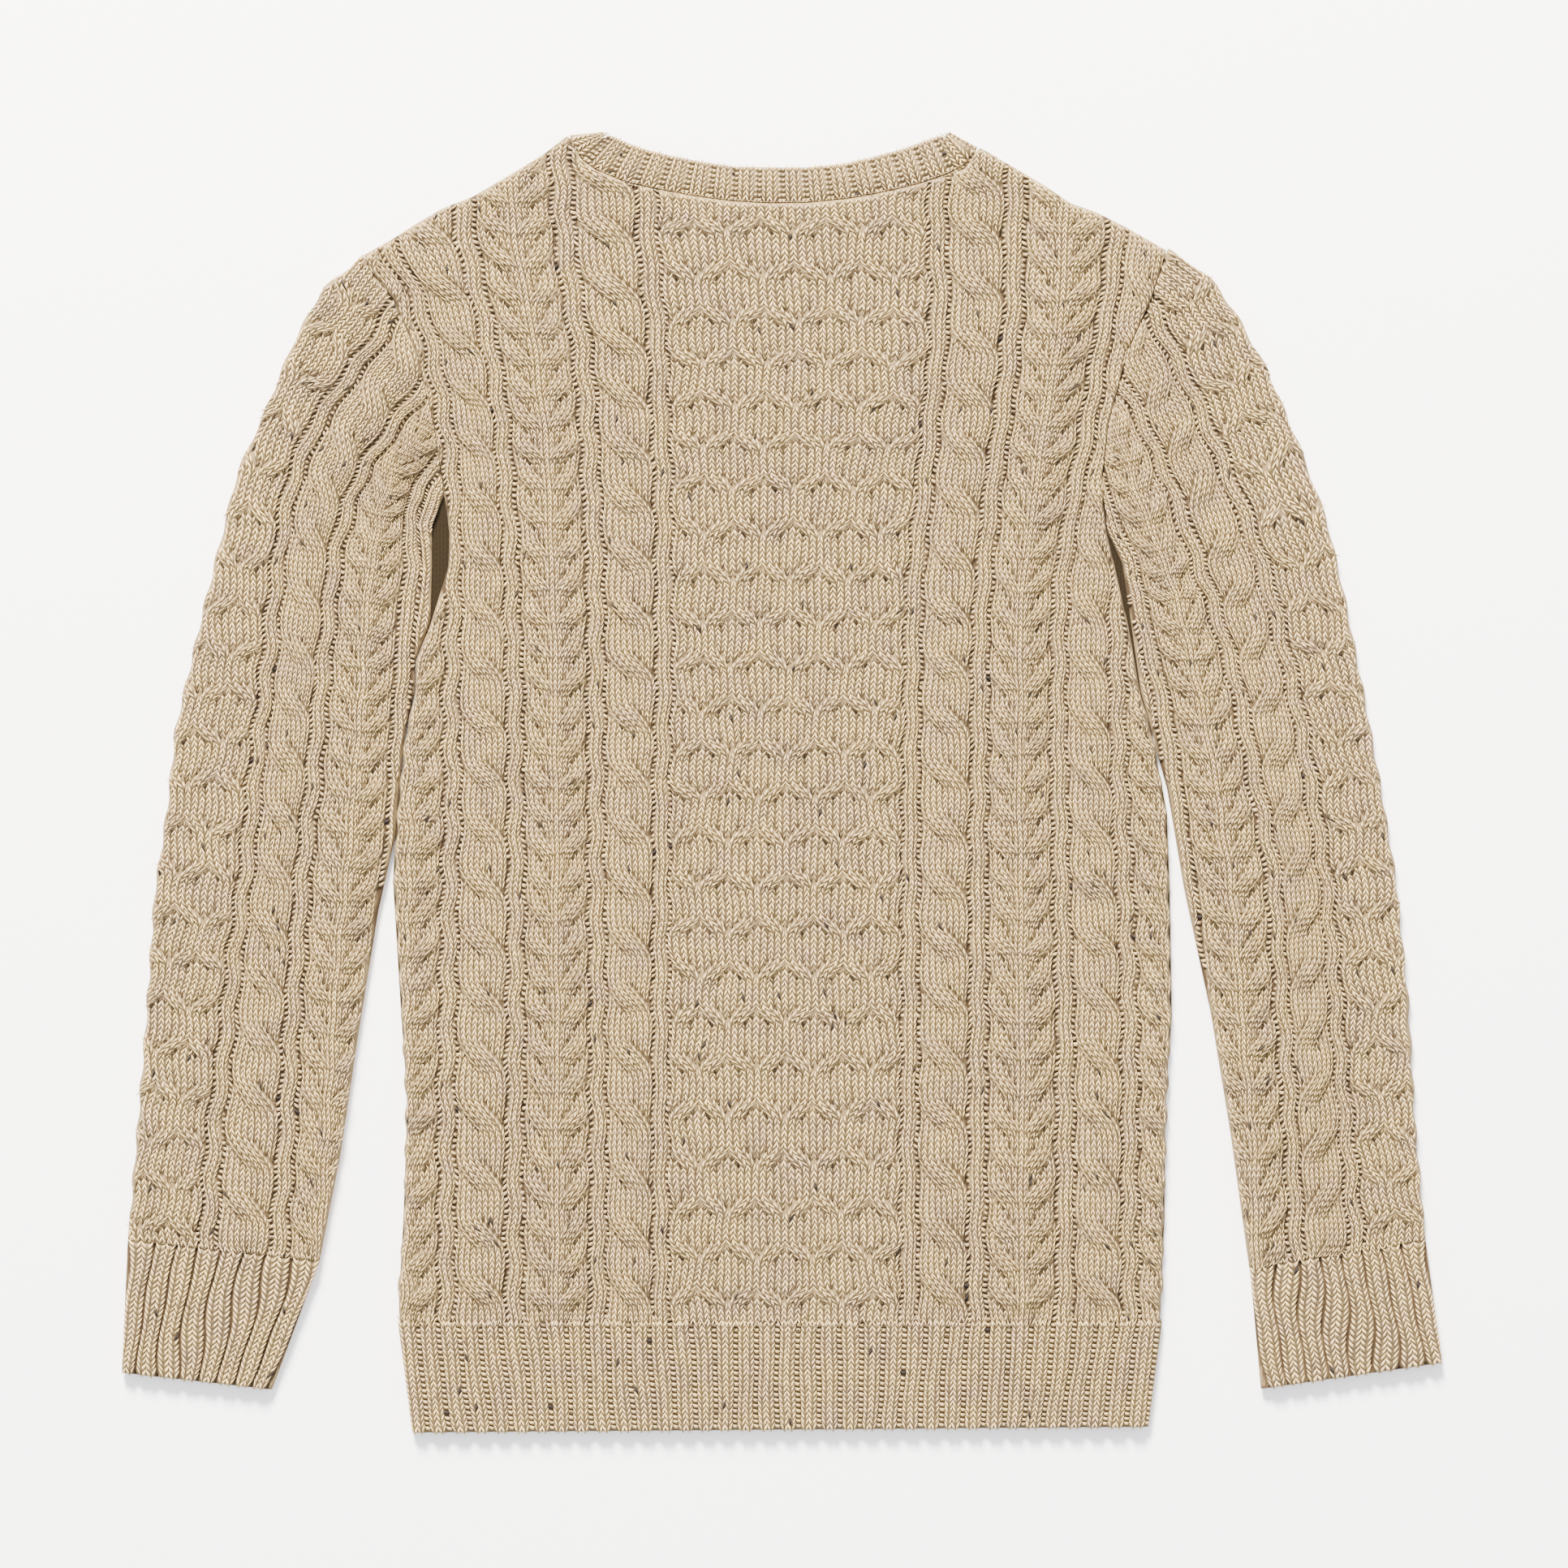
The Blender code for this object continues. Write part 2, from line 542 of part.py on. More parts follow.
def front_panel():
    """The layer under the back: its neck is lower, and it fills the gaps under the arms."""
    left_corner = (SHOULDER_L[-1][0] - 0.6, SHOULDER_L[-1][1] + SEAM)
    right_corner = (SHOULDER_R[0][0] + 0.6, SHOULDER_R[0][1] + SEAM)
    outline = [(x, y, True) for x, y in SHOULDER_L[:-1] + (left_corner,)]
    neck = list(zip(NECK_FRONT["seam_x"], NECK_FRONT["seam_down"]))[1:-1]
    outline += [(x, y + 0.7, False) for x, y in neck]
    outline += [(x, y, True) for x, y in (right_corner,) + SHOULDER_R[1:]]
    outline += [(x, y, False) for x, y in ARMHOLE_R[2:-1] + UNDERARM_R]
    sides = [y for y in BACK["down"] if -75 < y < HEM_LINE] + [HEM_LINE]
    outline += [(back_at("edge_r", y), y, True) for y in sides]
    outline += [(back_at("edge_l", y), y, True) for y in sides[::-1]]
    outline += [(x, y, False) for x, y in UNDERARM_L + ARMHOLE_L[-2:1:-1]]
    return slab("front_panel", outline, BEVEL, WOOL)


# Ribbing of the hem and the cuffs.
def ribbed(name, table, tube):
    """Ribbing between its top and end lines, as one layer or as a flattened tube."""
    mesh = Mesh(name)
    (ax, ay), (bx, by) = table["top"]
    (cx, cy), (dx, dy) = table["end"]
    ribs = table["ribs"]
    width = math.hypot(bx - ax, by - ay)
    shares = [0.0]
    for k in range(ribs):
        shares += [(k + step) / ribs for step in (0.10, 0.22, 0.70, 0.84)]
    shares.append(1.0)
    columns = []
    for t in shares:
        up = RIDGE if 0.15 < t * ribs % 1 < 0.78 else 0.0
        roll = quarter_round(min(t, 1 - t) * width / RIB_ROLL)
        height = BACK_IN + EDGE_LOW + (GROUND - EDGE_LOW + up) * roll
        top = at(ax + (bx - ax) * t, ay + (by - ay) * t, height)
        end = at(cx + (dx - cx) * t, cy + (dy - cy) * t, height)
        columns.append([top, end])
    loop = mesh.face_of(columns)
    if tube:
        close_tube(mesh, loop, 2, len(columns), 2)
    else:
        mesh.lid(loop, BACK_IN)
    return mesh.build(RIB_WOOL)


def front_hem():
    (ax, ay), (bx, by) = HEM["top"]
    (cx, cy), (dx, dy) = HEM["end"]
    outline = [(ax, ay, True), (bx, by, True), (dx, dy, True), (cx, cy, True)]
    return slab("front_hem_rib", outline, BEVEL, RIB_WOOL)


# Sleeves.
def sleeve_spot(table, name, row):
    return np.array([float(np.interp(row, table["row"], table[name + axis])) for axis in ("_x", "_down")])


def sleeve_across(table, across, row):
    """Where a step across the sleeve's knit lies on a row."""
    one, two, three = (sleeve_spot(table, name, row) for name in ("one", "two", "three"))
    if across < 0:
        away = sleeve_spot(table, "outer", row) - one
        size = float(np.linalg.norm(away))
        return one + away / size * min(-across, size)
    if across < SLEEVE_TWINS[1]:
        return one + (two - one) * across / SLEEVE_TWINS[1]
    if across < SLEEVE_TWINS[2]:
        return two + (three - two) * (across - SLEEVE_TWINS[1]) / (SLEEVE_TWINS[2] - SLEEVE_TWINS[1])
    away = sleeve_spot(table, "inner", row) - three
    size = float(np.linalg.norm(away))
    return three + away / size * min(across - SLEEVE_TWINS[2], size)


class Sleeve:
    """One sleeve: its table, its armhole seam and its side of the body."""

    def __init__(self, table, seam, left):
        self.table = table
        self.seam = seam
        self.left = left
        self.last = table["row"][-1] - 0.35

    def edges(self, row):
        """Outer and inner end of a row, the inner one clear of the body."""
        outer, inner = sleeve_spot(self.table, "outer", row), sleeve_spot(self.table, "inner", row)
        if inner[1] > -148.8 and self.left:
            inner[0] = min(inner[0], back_at("edge_l", inner[1]) - SLEEVE_SEAM)
        if inner[1] > -148.8 and not self.left:
            inner[0] = max(inner[0], back_at("edge_r", inner[1]) + SLEEVE_SEAM)
        return outer, inner

    def is_beyond(self, point):
        """Whether a point is on the sleeve's side of the armhole seam."""
        x, y = point
        if y > self.seam[-1][1]:
            return True
        edge = float(np.interp(y, [p[1] for p in self.seam], [p[0] for p in self.seam]))
        return x < edge - 0.7 if self.left else x > edge + 0.7

    def start_of(self, spot_at):
        """The first row on which a column is beyond the seam."""
        for row in np.arange(0, 120, 0.05):
            if self.is_beyond(spot_at(row)):
                return float(row)
        return 0.0

    def height(self, near, up):
        return BACK_IN + EDGE_LOW + (GROUND - EDGE_LOW + up) * quarter_round(near / ROLL)

    def outer_column(self):
        start = self.start_of(lambda row: self.edges(row)[0]) + 0.5
        rows = [start] + rows_of("edge", start + 0.8, self.last - 0.6, 0) + [self.last]
        return [at(*self.edges(row)[0], self.height(0.0, 0.0)) for row in rows]

    def inner_column(self):
        start = self.start_of(lambda row: self.edges(row)[1])
        while self.edges(start)[1][1] < -153.4:
            start += 0.2
        heights = [float(np.interp(y, self.table["inner_down"], self.table["row"])) for y in BACK["down"]]
        rows = [start] + [row for row in heights if start + 0.5 < row < self.last - 1] + [self.last]
        return [at(*self.edges(row)[1], self.height(0.0, 0.0)) for row in rows]

    def column(self, across, kind, first, place, count):
        def spot_at(row):
            outer, inner = self.edges(row)
            width = float(np.linalg.norm(inner - outer))
            way = (inner - outer) / width
            point = sleeve_across(self.table, across, row)
            reach = float((point - outer) @ way)
            kept = min(max(reach, COLUMN_STEP * place), width - COLUMN_STEP * (count - 1 - place))
            return point + way * (kept - reach), min(kept, width - kept)

        start = self.start_of(lambda row: spot_at(row)[0])
        line = []
        for row in [start] + rows_of(kind, start + 0.8, self.last - 0.6, first) + [self.last]:
            point, near = spot_at(row)
            line.append(at(*point, self.height(near, relief(across, row, SLEEVE_BANDS, SLEEVE_TWINS))))
        return line

    def build(self, name):
        mesh = Mesh(name)
        columns = columns_of(-55.2, 92, SLEEVE_BANDS, SLEEVE_TWINS)
        lines = [self.outer_column()]
        for k, (across, kind, first) in enumerate(columns):
            lines.append(self.column(across, kind, first, k + 1, len(columns) + 2))
        lines.append(self.inner_column())
        close_tube(mesh, mesh.face_of(lines), len(lines[0]), len(lines), len(lines[-1]))
        return mesh.build(WOOL)


# Neckband.
def neck_sections(table, count):
    """Sections spaced evenly along an arc of the band: neck edge and seam of each."""
    edge = np.column_stack([table["edge_x"], table["edge_down"]])
    seam = np.column_stack([table["seam_x"], table["seam_down"]])
    middle = (edge + seam) / 2
    run = np.concatenate([[0], np.cumsum(np.linalg.norm(np.diff(middle, axis=0), axis=1))])
    steps = np.linspace(0, run[-1], count)
    edges = np.column_stack([np.interp(steps, run, edge[:, k]) for k in (0, 1)])
    seams = np.column_stack([np.interp(steps, run, seam[:, k]) for k in (0, 1)])
    return list(zip(edges, seams))


def clear_of_seam(edge, seam, gap):
    return seam + (edge - seam) / np.linalg.norm(edge - seam) * gap


def neck_fold(mesh, index, inner_index):
    """Sections that turn the band over its end, from the back's level to the front's."""
    edge, seam, inside = (
        np.array([NECK_BACK[line + "_x"][i], NECK_BACK[line + "_down"][i]], float)
        for line, i in (("edge", index), ("seam", index), ("edge", inner_index))
    )
    along = (edge - seam) / np.linalg.norm(edge - seam)
    outward = np.array([-along[1], along[0]])
    if float(outward @ (inside - edge)) > 0:
        outward = -outward
    seam = seam + along * NECK_SEAM_GAP
    middle = (FRONT_TOP + BACK_IN) / 2
    thin = (BACK_IN - FRONT_TOP) / 2
    rings = []
    for angle in (90, 45, 0, -45, -90):
        out, rise = math.cos(math.radians(angle)), math.sin(math.radians(angle))
        high = middle + rise * (FOLD_RISE if angle > 0 else FOLD_REACH)
        low = middle + rise * thin
        edge_out, seam_out = (p + outward * (out - 1) * FOLD_REACH for p in (edge, seam))
        edge_in, seam_in = (p + outward * (out * thin - FOLD_REACH) for p in (edge, seam))
        corners = ((edge_in, low), (edge_out, high), (seam_out, high), (seam_in, low))
        rings.append([mesh.add(at(*spot, height)) for spot, height in corners])
    return rings


def neckband():
    """A folded ring of ribbing: its back arc on top, its front arc lower and under the back."""
    mesh = Mesh("neckband")
    shares = [0.0]
    for k in range(NECK_RIBS):
        shares += [(k + step) / NECK_RIBS for step in (0.12, 0.24, 0.68, 0.80)]
    fine = neck_sections(NECK_BACK, 400)
    rings = []
    for share in shares[3:-2]:
        edge, seam = fine[round(share * 399)]
        seam = clear_of_seam(edge, seam, NECK_SEAM_GAP)
        up = NECK_RIDGE if 0.2 < share * NECK_RIBS % 1 < 0.72 else 0.0
        top = BACK_IN + GROUND + up
        corners = ((edge, BACK_IN), (edge, top), (seam, top), (seam, BACK_IN))
        rings.append([mesh.add(at(*spot, height)) for spot, height in corners])
    rings += neck_fold(mesh, -1, -2)
    for edge, seam in neck_sections(NECK_FRONT, 19)[-2:0:-1]:
        seam = clear_of_seam(edge, seam, 0.18)
        corners = ((edge, FRONT_TOP), (edge, 0.0), (seam, 0.0), (seam, FRONT_TOP))
        rings.append([mesh.add(at(*spot, height)) for spot, height in corners])
    rings += neck_fold(mesh, 0, 1)[::-1]
    for ring, other in zip(rings, rings[1:] + rings[:1]):
        mesh.wall(ring, other)
    return mesh.build(RIB_WOOL)


back_panel()
front_panel()
ribbed("back_hem_rib", HEM, False)
front_hem()
Sleeve(SLEEVE_L, ARMHOLE_L, True).build("sleeve_left")
Sleeve(SLEEVE_R, ARMHOLE_R, False).build("sleeve_right")
ribbed("cuff_left", CUFF_L, True)
ribbed("cuff_right", CUFF_R, True)
neckband()
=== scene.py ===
import math

import bmesh
import bpy
import numpy as np
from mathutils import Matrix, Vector


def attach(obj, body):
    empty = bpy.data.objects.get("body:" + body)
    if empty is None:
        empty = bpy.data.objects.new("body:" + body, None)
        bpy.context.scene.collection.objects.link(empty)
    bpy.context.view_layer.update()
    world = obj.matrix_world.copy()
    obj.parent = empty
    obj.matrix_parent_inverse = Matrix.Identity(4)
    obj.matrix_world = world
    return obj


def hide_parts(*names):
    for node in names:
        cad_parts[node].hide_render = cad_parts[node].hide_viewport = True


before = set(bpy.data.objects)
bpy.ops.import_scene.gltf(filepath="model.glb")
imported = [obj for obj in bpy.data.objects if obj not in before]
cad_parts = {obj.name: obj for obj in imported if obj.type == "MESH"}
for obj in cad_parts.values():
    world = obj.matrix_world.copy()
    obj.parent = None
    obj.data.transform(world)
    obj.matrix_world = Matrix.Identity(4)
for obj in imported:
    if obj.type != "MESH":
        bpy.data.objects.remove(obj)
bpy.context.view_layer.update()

# Sizes are millimetres. Across is to the right of the garment's middle, and down is from there to the hem.
MM = 0.001
ROW = 3.16
WALE = 4.0
HEM_LINE = 305.7
# Down to here the body is sewn to the sleeves; the sleeves' own inner edges are free a little lower.
ARMHOLE_END = -160
SLEEVE_FREE = -140

# Metres: how high the camera is over the garment, how wide its picture is there, and the picture's middle.
CAMERA_HIGH = 2.5
FRAME_WIDE = 0.8887
PICTURE_MIDDLE = (0.00115, -0.00115)
# The width of the camera's sensor, in millimetres.
SENSOR = 36.0

# Heights over the table: the front's top, the back's inner face, its outer face and lowest edge over that.
FRONT_TOP = 3.6
BACK_IN = 4.0
GROUND = 2.0
EDGE_LOW = 1.3
# How wide the rolled edge is, how high each kind of knit stands, and how deep cloth and stitches are sunk.
ROLL = 7.0
RIDGE, ROPE, SHOE, CELL, STRAND, NECK_RIDGE = 1.6, 3.1, 2.9, 1.9, 1.2, 0.9
SUNK = 1.1
STITCH_SUNK = 0.25
# The armhole seam's gap, how far its groove goes down, and how cables push ribs and free edges aside.
SEAM = 0.15
GROOVE = 0.28
BULGE = 1.1
KNOB = 0.7


def in_columns(names, *rows):
    """Named columns from rows."""
    return dict(zip(names.split(), zip(*rows)))


# Rows of knitting and where they lie down the back: a honeycomb line every 8 rows.
ROW_AT = in_columns(
    "row down",
    (-20, -370.5), (0, -314.9), (16, -263.8), (32, -216.4), (48, -169.5), (64, -118), (80, -68.3),
    (96, -19.1), (112, 30.1), (128, 81.2), (144, 132.2), (160, 185.6), (176, 240.4), (192, 291.4),
    (200, 316.7),
)

# Where each column of the back lies: its two edges and its eight twin ribs.
BACK = in_columns(
    "down edge_l a b c d e f g h edge_r",
    (-374.2, -245.4, -233.9, -185.6, -126.7, -77.5, 88.1, 134.1, 189.3, 225, 221.5),
    (-305.2, -240.8, -224.7, -178.7, -123.1, -75.2, 88.1, 130.9, 190.2, 226, 219.2),
    (-298.8, -237.1, -221, -177.3, -122.1, -74.8, 88.5, 130.9, 189.3, 225, 216.9),
    (-289.1, -232.5, -215.1, -175, -120.8, -73.8, 89, 131.3, 187.9, 223.5, 214.1),
    (-273.9, -220.1, -206.3, -171.8, -118.5, -72.5, 89.5, 131.8, 186.1, 221, 209.1),
    (-243.1, -206.8, -197.1, -165.4, -112.9, -69.7, 88.1, 129, 181, 216, 195.3),
    (-202.2, -197.1, -189.8, -158.9, -109.7, -68.3, 84.4, 124.4, 174.1, 208, 184.7),
    (-171.3, -192.5, -185.6, -157.1, -107.9, -67.4, 81.2, 120.3, 167.7, 200.5, 181),
    (-140.5, -188.4, -185.6, -154.8, -106.5, -66.9, 78, 117.1, 163.1, 194, 184.2),
    (-121.2, -189.3, -185.6, -153.9, -106, -66.5, 76.1, 114.8, 159.8, 190.5, 188.8),
    (-89, -199.4, -186.1, -153, -105.6, -66.5, 74.3, 112.9, 157.1, 189.3, 196.2),
    (-68.3, -207.7, -186.5, -152, -105.1, -66.5, 73.8, 112.5, 157.1, 189.8, 199.9),
    (-52.2, -207.7, -187, -151.6, -105.1, -66.5, 73.8, 112.5, 157.1, 189.8, 202.6),
    (-24.2, -213.7, -187, -151.1, -105.1, -67.4, 73.4, 112, 157.1, 190.2, 210.5),
    (16.8, -217.8, -186.5, -150.7, -105.1, -68.3, 72.9, 111.6, 157.6, 192.1, 217.8),
    (55.9, -220.1, -187.9, -150.7, -104.7, -68.3, 72.5, 111.1, 158.5, 193.9, 219.2),
    (131.8, -215.5, -189.3, -150.7, -104.2, -68.8, 72.5, 111.1, 160.8, 197.1, 220.6),
    (181, -213.2, -189.8, -151.1, -103.7, -68.8, 72, 110.6, 160.8, 197.1, 218.3),
    (246.8, -214.1, -190.2, -151.6, -103.7, -68.8, 72, 110.2, 160.8, 197.1, 216.4),
    (291.9, -217.8, -189.8, -151.6, -103.7, -68.8, 72, 110.2, 160.8, 197.1, 215.5),
    (313, -216, -189.8, -151.6, -103.7, -68.8, 72, 110.2, 160.8, 197.1, 213.2),
)
TWINS = (0.0, 36.8, 82.8, 119.6, 259.0, 296.7, 342.7, 379.5)

# Cables between the twin ribs: kind, first and last step across, wales, side that crosses over and the
# row of the first crossing. A step is a millimetre of the knit before it is pulled into shape.
BANDS = (
    ("shoe", -41.0, -6.2, 12, 1, 0),
    ("rope", 6.0, 30.8, 8, 1, 1),
    ("shoe", 43.2, 76.4, 12, 1, 0),
    ("rope", 88.8, 113.6, 8, 1, 1),
    ("cell", 125.2, 253.4, 32, 1, 0),
    ("rope", 265.2, 290.6, 8, 1, 1),
    ("shoe", 303.0, 336.4, 12, 1, 0),
    ("rope", 348.8, 373.6, 8, 1, 1),
    ("shoe", 385.7, 420.5, 12, 1, 0),
)

SHOULDER_L = (
    (-237.1, -298.8), (-220.6, -308), (-206.3, -317.2), (-192.1, -325.4), (-175.5, -331.8),
    (-158.9, -341.6), (-146.5, -348.9), (-134.6, -356.4), (-121.0, -366.4),
)
NECK_SEAM = (
    (-113.8, -352.6), (-105.1, -346.2), (-88.1, -339.4), (-71.5, -335.8), (-49.9, -331.7), (-28.8, -328.9),
    (-7.1, -327.6), (15, -328), (38, -330.3), (55.9, -333.5), (75.7, -338), (90.4, -342.6),
    (103.7, -347.2),
)
SHOULDER_R = (
    (111.6, -359.2), (118.9, -355.6), (130.4, -349.2), (151.1, -336.8), (163.5, -328.2), (177.8, -323.2),
    (194.3, -314.9), (217.8, -301.5),
)

# Sleeves, cap to cuff: row of knitting, then where the outer edge, three twin ribs and the inner edge lie.
SLEEVE_L = in_columns(
    "row outer_x outer_y one_x one_y two_x two_y three_x three_y inner_x inner_y",
    (0, -237.1, -298.8, -210.9, -282.2, -185.6, -259.2, -162.6, -236.2, -148.8, -224.7),
    (10, -261.1, -279, -227, -254.2, -194.8, -230.7, -167.2, -210.9, -154.3, -200.3),
    (20.4, -277.6, -248.2, -246.3, -227.5, -213.2, -210.5, -185.6, -192.5, -171.8, -183.3),
    (31.6, -292.3, -212.3, -266.1, -198, -233.9, -180.6, -206.3, -167.2, -192.5, -160.8),
    (42.5, -308.9, -175.5, -278.5, -165.8, -244.5, -157.1, -210.9, -148.8, -198.5, -145.1),
    (53.8, -319, -134.6, -283.6, -130.4, -254.2, -126.7, -208.2, -124, -198.5, -121.2),
    (64.1, -327.3, -101.4, -287.3, -98.2, -256.9, -95, -213.2, -89.9, -199.4, -88.1),
    (87.1, -343.9, -30.6, -295.1, -26, -263.8, -24.2, -216.5, -22.8, -214.1, -22.3),
    (101.9, -348.9, 16.8, -300.2, 20.5, -268.4, 22.8, -218.5, 25.1, -218.3, 26),
    (116.5, -355.8, 62.8, -305.2, 66.5, -273, 68.8, -224, 71.1, -228.9, 72.9),
    (139.1, -360.4, 131.8, -313.9, 137.3, -277.6, 140.1, -231, 142.8, -240.4, 144.2),
    (159.6, -365.5, 197.1, -321.3, 201.7, -280.4, 206.3, -235, 210, -250.5, 212.3),
    (179.7, -371, 260.6, -325.9, 265.7, -285.4, 269.8, -240, 272.1, -262.4, 272.6),
)
SLEEVE_R = in_columns(
    "row outer_x outer_y one_x one_y two_x two_y three_x three_y inner_x inner_y",
    (0, 219, -302.1, 193.9, -282.2, 166.3, -261.5, 143.3, -240.8, 131.8, -231.6),
    (5.8, 241.7, -287.6, 208.2, -270.7, 173.2, -252.3, 147.9, -236.2, 136.4, -229.3),
    (14.3, 256.9, -266.6, 219.7, -246.3, 187.9, -231.6, 159.4, -217.8, 150.2, -213.2),
    (24.6, 274.4, -235.3, 233.9, -216.9, 202.2, -207.7, 175.5, -192.5, 166.3, -187.9),
    (38.9, 292.8, -192.5, 251.9, -175.5, 219.2, -170, 183.3, -155.7, 178.7, -153.4),
    (50.3, 308.9, -148.8, 265.2, -141.9, 232.1, -137.8, 196.7, -124, 193, -123.1),
    (61.8, 318.1, -109.7, 276.2, -107.4, 243.6, -103.7, 202.6, -100.5, 196.7, -99.6),
    (80.1, 329.6, -52.2, 290, -51.3, 259.2, -49.9, 215, -48.5, 204, -47.6),
    (96.3, 338.8, -1.6, 298.8, -0.7, 269.3, 0.7, 222, 2.1, 218.3, 3),
    (114.4, 348, 53.6, 308, 55.9, 279.9, 57.3, 229, 58.7, 227.9, 59.6),
    (137, 355.4, 126.3, 313.5, 127.2, 284.1, 128.6, 236, 130, 243.1, 130.4),
    (158.5, 359, 193.4, 319, 194.8, 289.1, 196.2, 243, 197.6, 254.2, 198),
    (181.3, 365, 260.6, 326.4, 266.6, 291.9, 272.6, 247, 275.3, 265.2, 276.7),
)
SLEEVE_TWINS = (0.0, 36.8, 82.8)
SLEEVE_BANDS = (
    ("cell", -69.7, -5.8, 16, 1, 0),
    ("rope", 6.0, 30.8, 8, 1, 1),
    ("shoe", 43.2, 76.4, 12, 1, 0),
    ("plain", 88.8, 112.2, 6, 1, 0),
)

# Ribbing: its corners, its ribs, and a wale's share of a rib.
HEM = {
    "top": ((-217.8, 306.1), (215.5, 306.1)),
    "end": ((-209.5, 368.7), (207.7, 365.5)),
    "ribs": 36,
    "wale": 0.36,
}
CUFF_L = {
    "top": ((-371, 260.1), (-262.3, 272.1)),
    "end": ((-374.2, 334.7), (-289.1, 344.3)),
    "ribs": 8,
    "wale": 0.44,
}
CUFF_R = {
    "top": ((365, 260.1), (265.4, 276.2)),
    "end": ((374.2, 329.1), (271.6, 343.9)),
    "ribs": 8,
    "wale": 0.44,
}

NECK_BACK = in_columns(
    "edge_x edge_y seam_x seam_y",
    (-101.4, -368.7, -120.6, -366.8), (-97.8, -366.9, -113.4, -352.8), (-90.9, -363.6, -103.7, -345.9),
    (-78.9, -359, -88.1, -339.7), (-64.6, -355.4, -71.5, -336), (-46.2, -351.7, -49.9, -331.9),
    (-27.4, -348.9, -28.8, -329.1), (-7.1, -348.4, -7.1, -327.8), (13.6, -348.4, 15, -328.2),
    (33.8, -350.3, 38, -330.5), (50.4, -354, 55.9, -333.7), (68.8, -359, 75.7, -338.3),
    (84, -364.6, 93.2, -344.3), (90.4, -366.9, 103.3, -349.4), (94.5, -368.7, 111.1, -359.6),
)
NECK_FRONT = in_columns(
    "edge_x edge_y seam_x seam_y",
    (-101.4, -368.7, -121.2, -362.2), (-95.5, -351.2, -114.8, -343.9), (-83.5, -329.1, -101, -318.1),
    (-61.4, -307.1, -73.4, -291.4), (-33.8, -293.2, -40.2, -274.9), (-3.9, -288.7, -3.9, -268.9),
    (26, -293.2, 32.4, -274.9), (53.6, -307.1, 66, -291.4), (75.7, -329.1, 93.2, -318.1),
    (88.1, -351.2, 107, -342.9), (94.5, -368.7, 111.1, -357.2),
)
NECK_RIBS = 17


# Knit shapes.
def smooth(t):
    """An even rise from 0 to 1."""
    t = np.clip(t, 0.0, 1.0)
    return t * t * (3 - 2 * t)


def follow(value, knots, places):
    """A value carried from the knots to the places, at its own pace outside them."""
    out = places[0] + value - knots[0]
    for k in range(len(knots) - 1):
        share = (value - knots[k]) / (knots[k + 1] - knots[k])
        out = np.where(value > knots[k], places[k] + share * (places[k + 1] - places[k]), out)
    return np.where(value > knots[-1], places[-1] + value - knots[-1], out)


def rounded(t):
    """A quarter circle's rise from 0 to 1."""
    return np.sqrt(1 - (1 - t) ** 2)


def surface(up, roll):
    """Height of the upper layer, from its relief and how far its edge has rolled down."""
    return BACK_IN + EDGE_LOW + (GROUND - EDGE_LOW + up) * roll


def gutter_shade(across, twins):
    """Painted shade: 1 in the purl gutters beside the twin ribs."""
    away = np.min([np.abs(across - twin) for twin in twins], 0)
    return smooth((away - 2.8) / 0.6) * smooth((6.6 - away) / 0.6)


def round_top(across, middle, half):
    """A band's round top: 1 on its middle, lower at its sides."""
    return 1 - 0.70 * np.clip(np.abs(across - middle) / half, 0.0, 1.0) ** 3


def strands_of(band):
    """A band's rows per crossing, its first one, and its strands from the top one down.

    A strand is its wales, their width, its reach, and functions for its path, level, spread and painted
    shade.
    """
    kind, low, high, wales, side, first = band
    wide = (high - low) / wales
    middle, half = (low + high) / 2, (high - low) / 2 + 0.6
    top = (middle, half)
    if kind == "plain":
        return 12, first, [filling(middle, wales, wide, 1.4, top, 0.0, [])]
    if kind == "rope":
        over = crossing(low, high, wales, 4, side, 3.3, ROPE, top)
        return 10, first, [over, filling(middle, wales, wide, ROPE, top, 2.5, [over])]
    if kind == "shoe":
        ear = filling(middle, 2, wide, SHOE + 0.35, top, 0.0, [])
        left = crossing(low, middle, wales // 2, 3, side, 2.6, SHOE, top)
        right = crossing(middle, high, wales // 2, 3, -side, 2.6, SHOE, top)
        return 6, first, [ear, left, right, filling(middle, wales, wide, SHOE, top, 1.8, [left, right])]
    strands = [honeycomb_strand(low + (4 * group + 2) * wide, wide, group) for group in range(wales // 4)]
    return 8, first, strands + [filling(middle, wales, wide, CELL, None, 1.2, strands)]


def outside(overs, near, turn, across):
    """How far a place is outside the nearest moving strand."""
    away = np.full(np.broadcast(near, across).shape, 99.0)
    for _, _, reach, path, _, spread, _ in overs:
        away = np.minimum(away, np.abs(across - path(near, turn)) - reach * (1 + spread(near)))
    return away


def crown_of(height, top, across):
    """A band's height with its rounded sides."""
    return height + 0 * across if top is None else height * round_top(across, *top)


def filling(middle, wales, wide, height, top, dip, overs):
    """Wales that run straight down, dipping under the strands that cross them."""
    def beside(near, turn, across):
        away = np.maximum(outside(overs, near, turn, across), 0.0)
        return np.exp(-(away / 2.0) ** 2) * (1 - smooth((np.abs(near) - 1.6) / 2.2))

    def level(near, turn, across):
        return crown_of(height, top, across) - dip * beside(near, turn, across)

    # Painted shade on the wales beside the strands that cross over them.
    def deep(near, turn, across):
        return 0.85 * beside(near, turn, across) * (dip > 0)

    def path(near, turn):
        return middle + 0 * near

    return wales, wide, wales * wide / 2, path, level, lambda near: 0 * near, deep


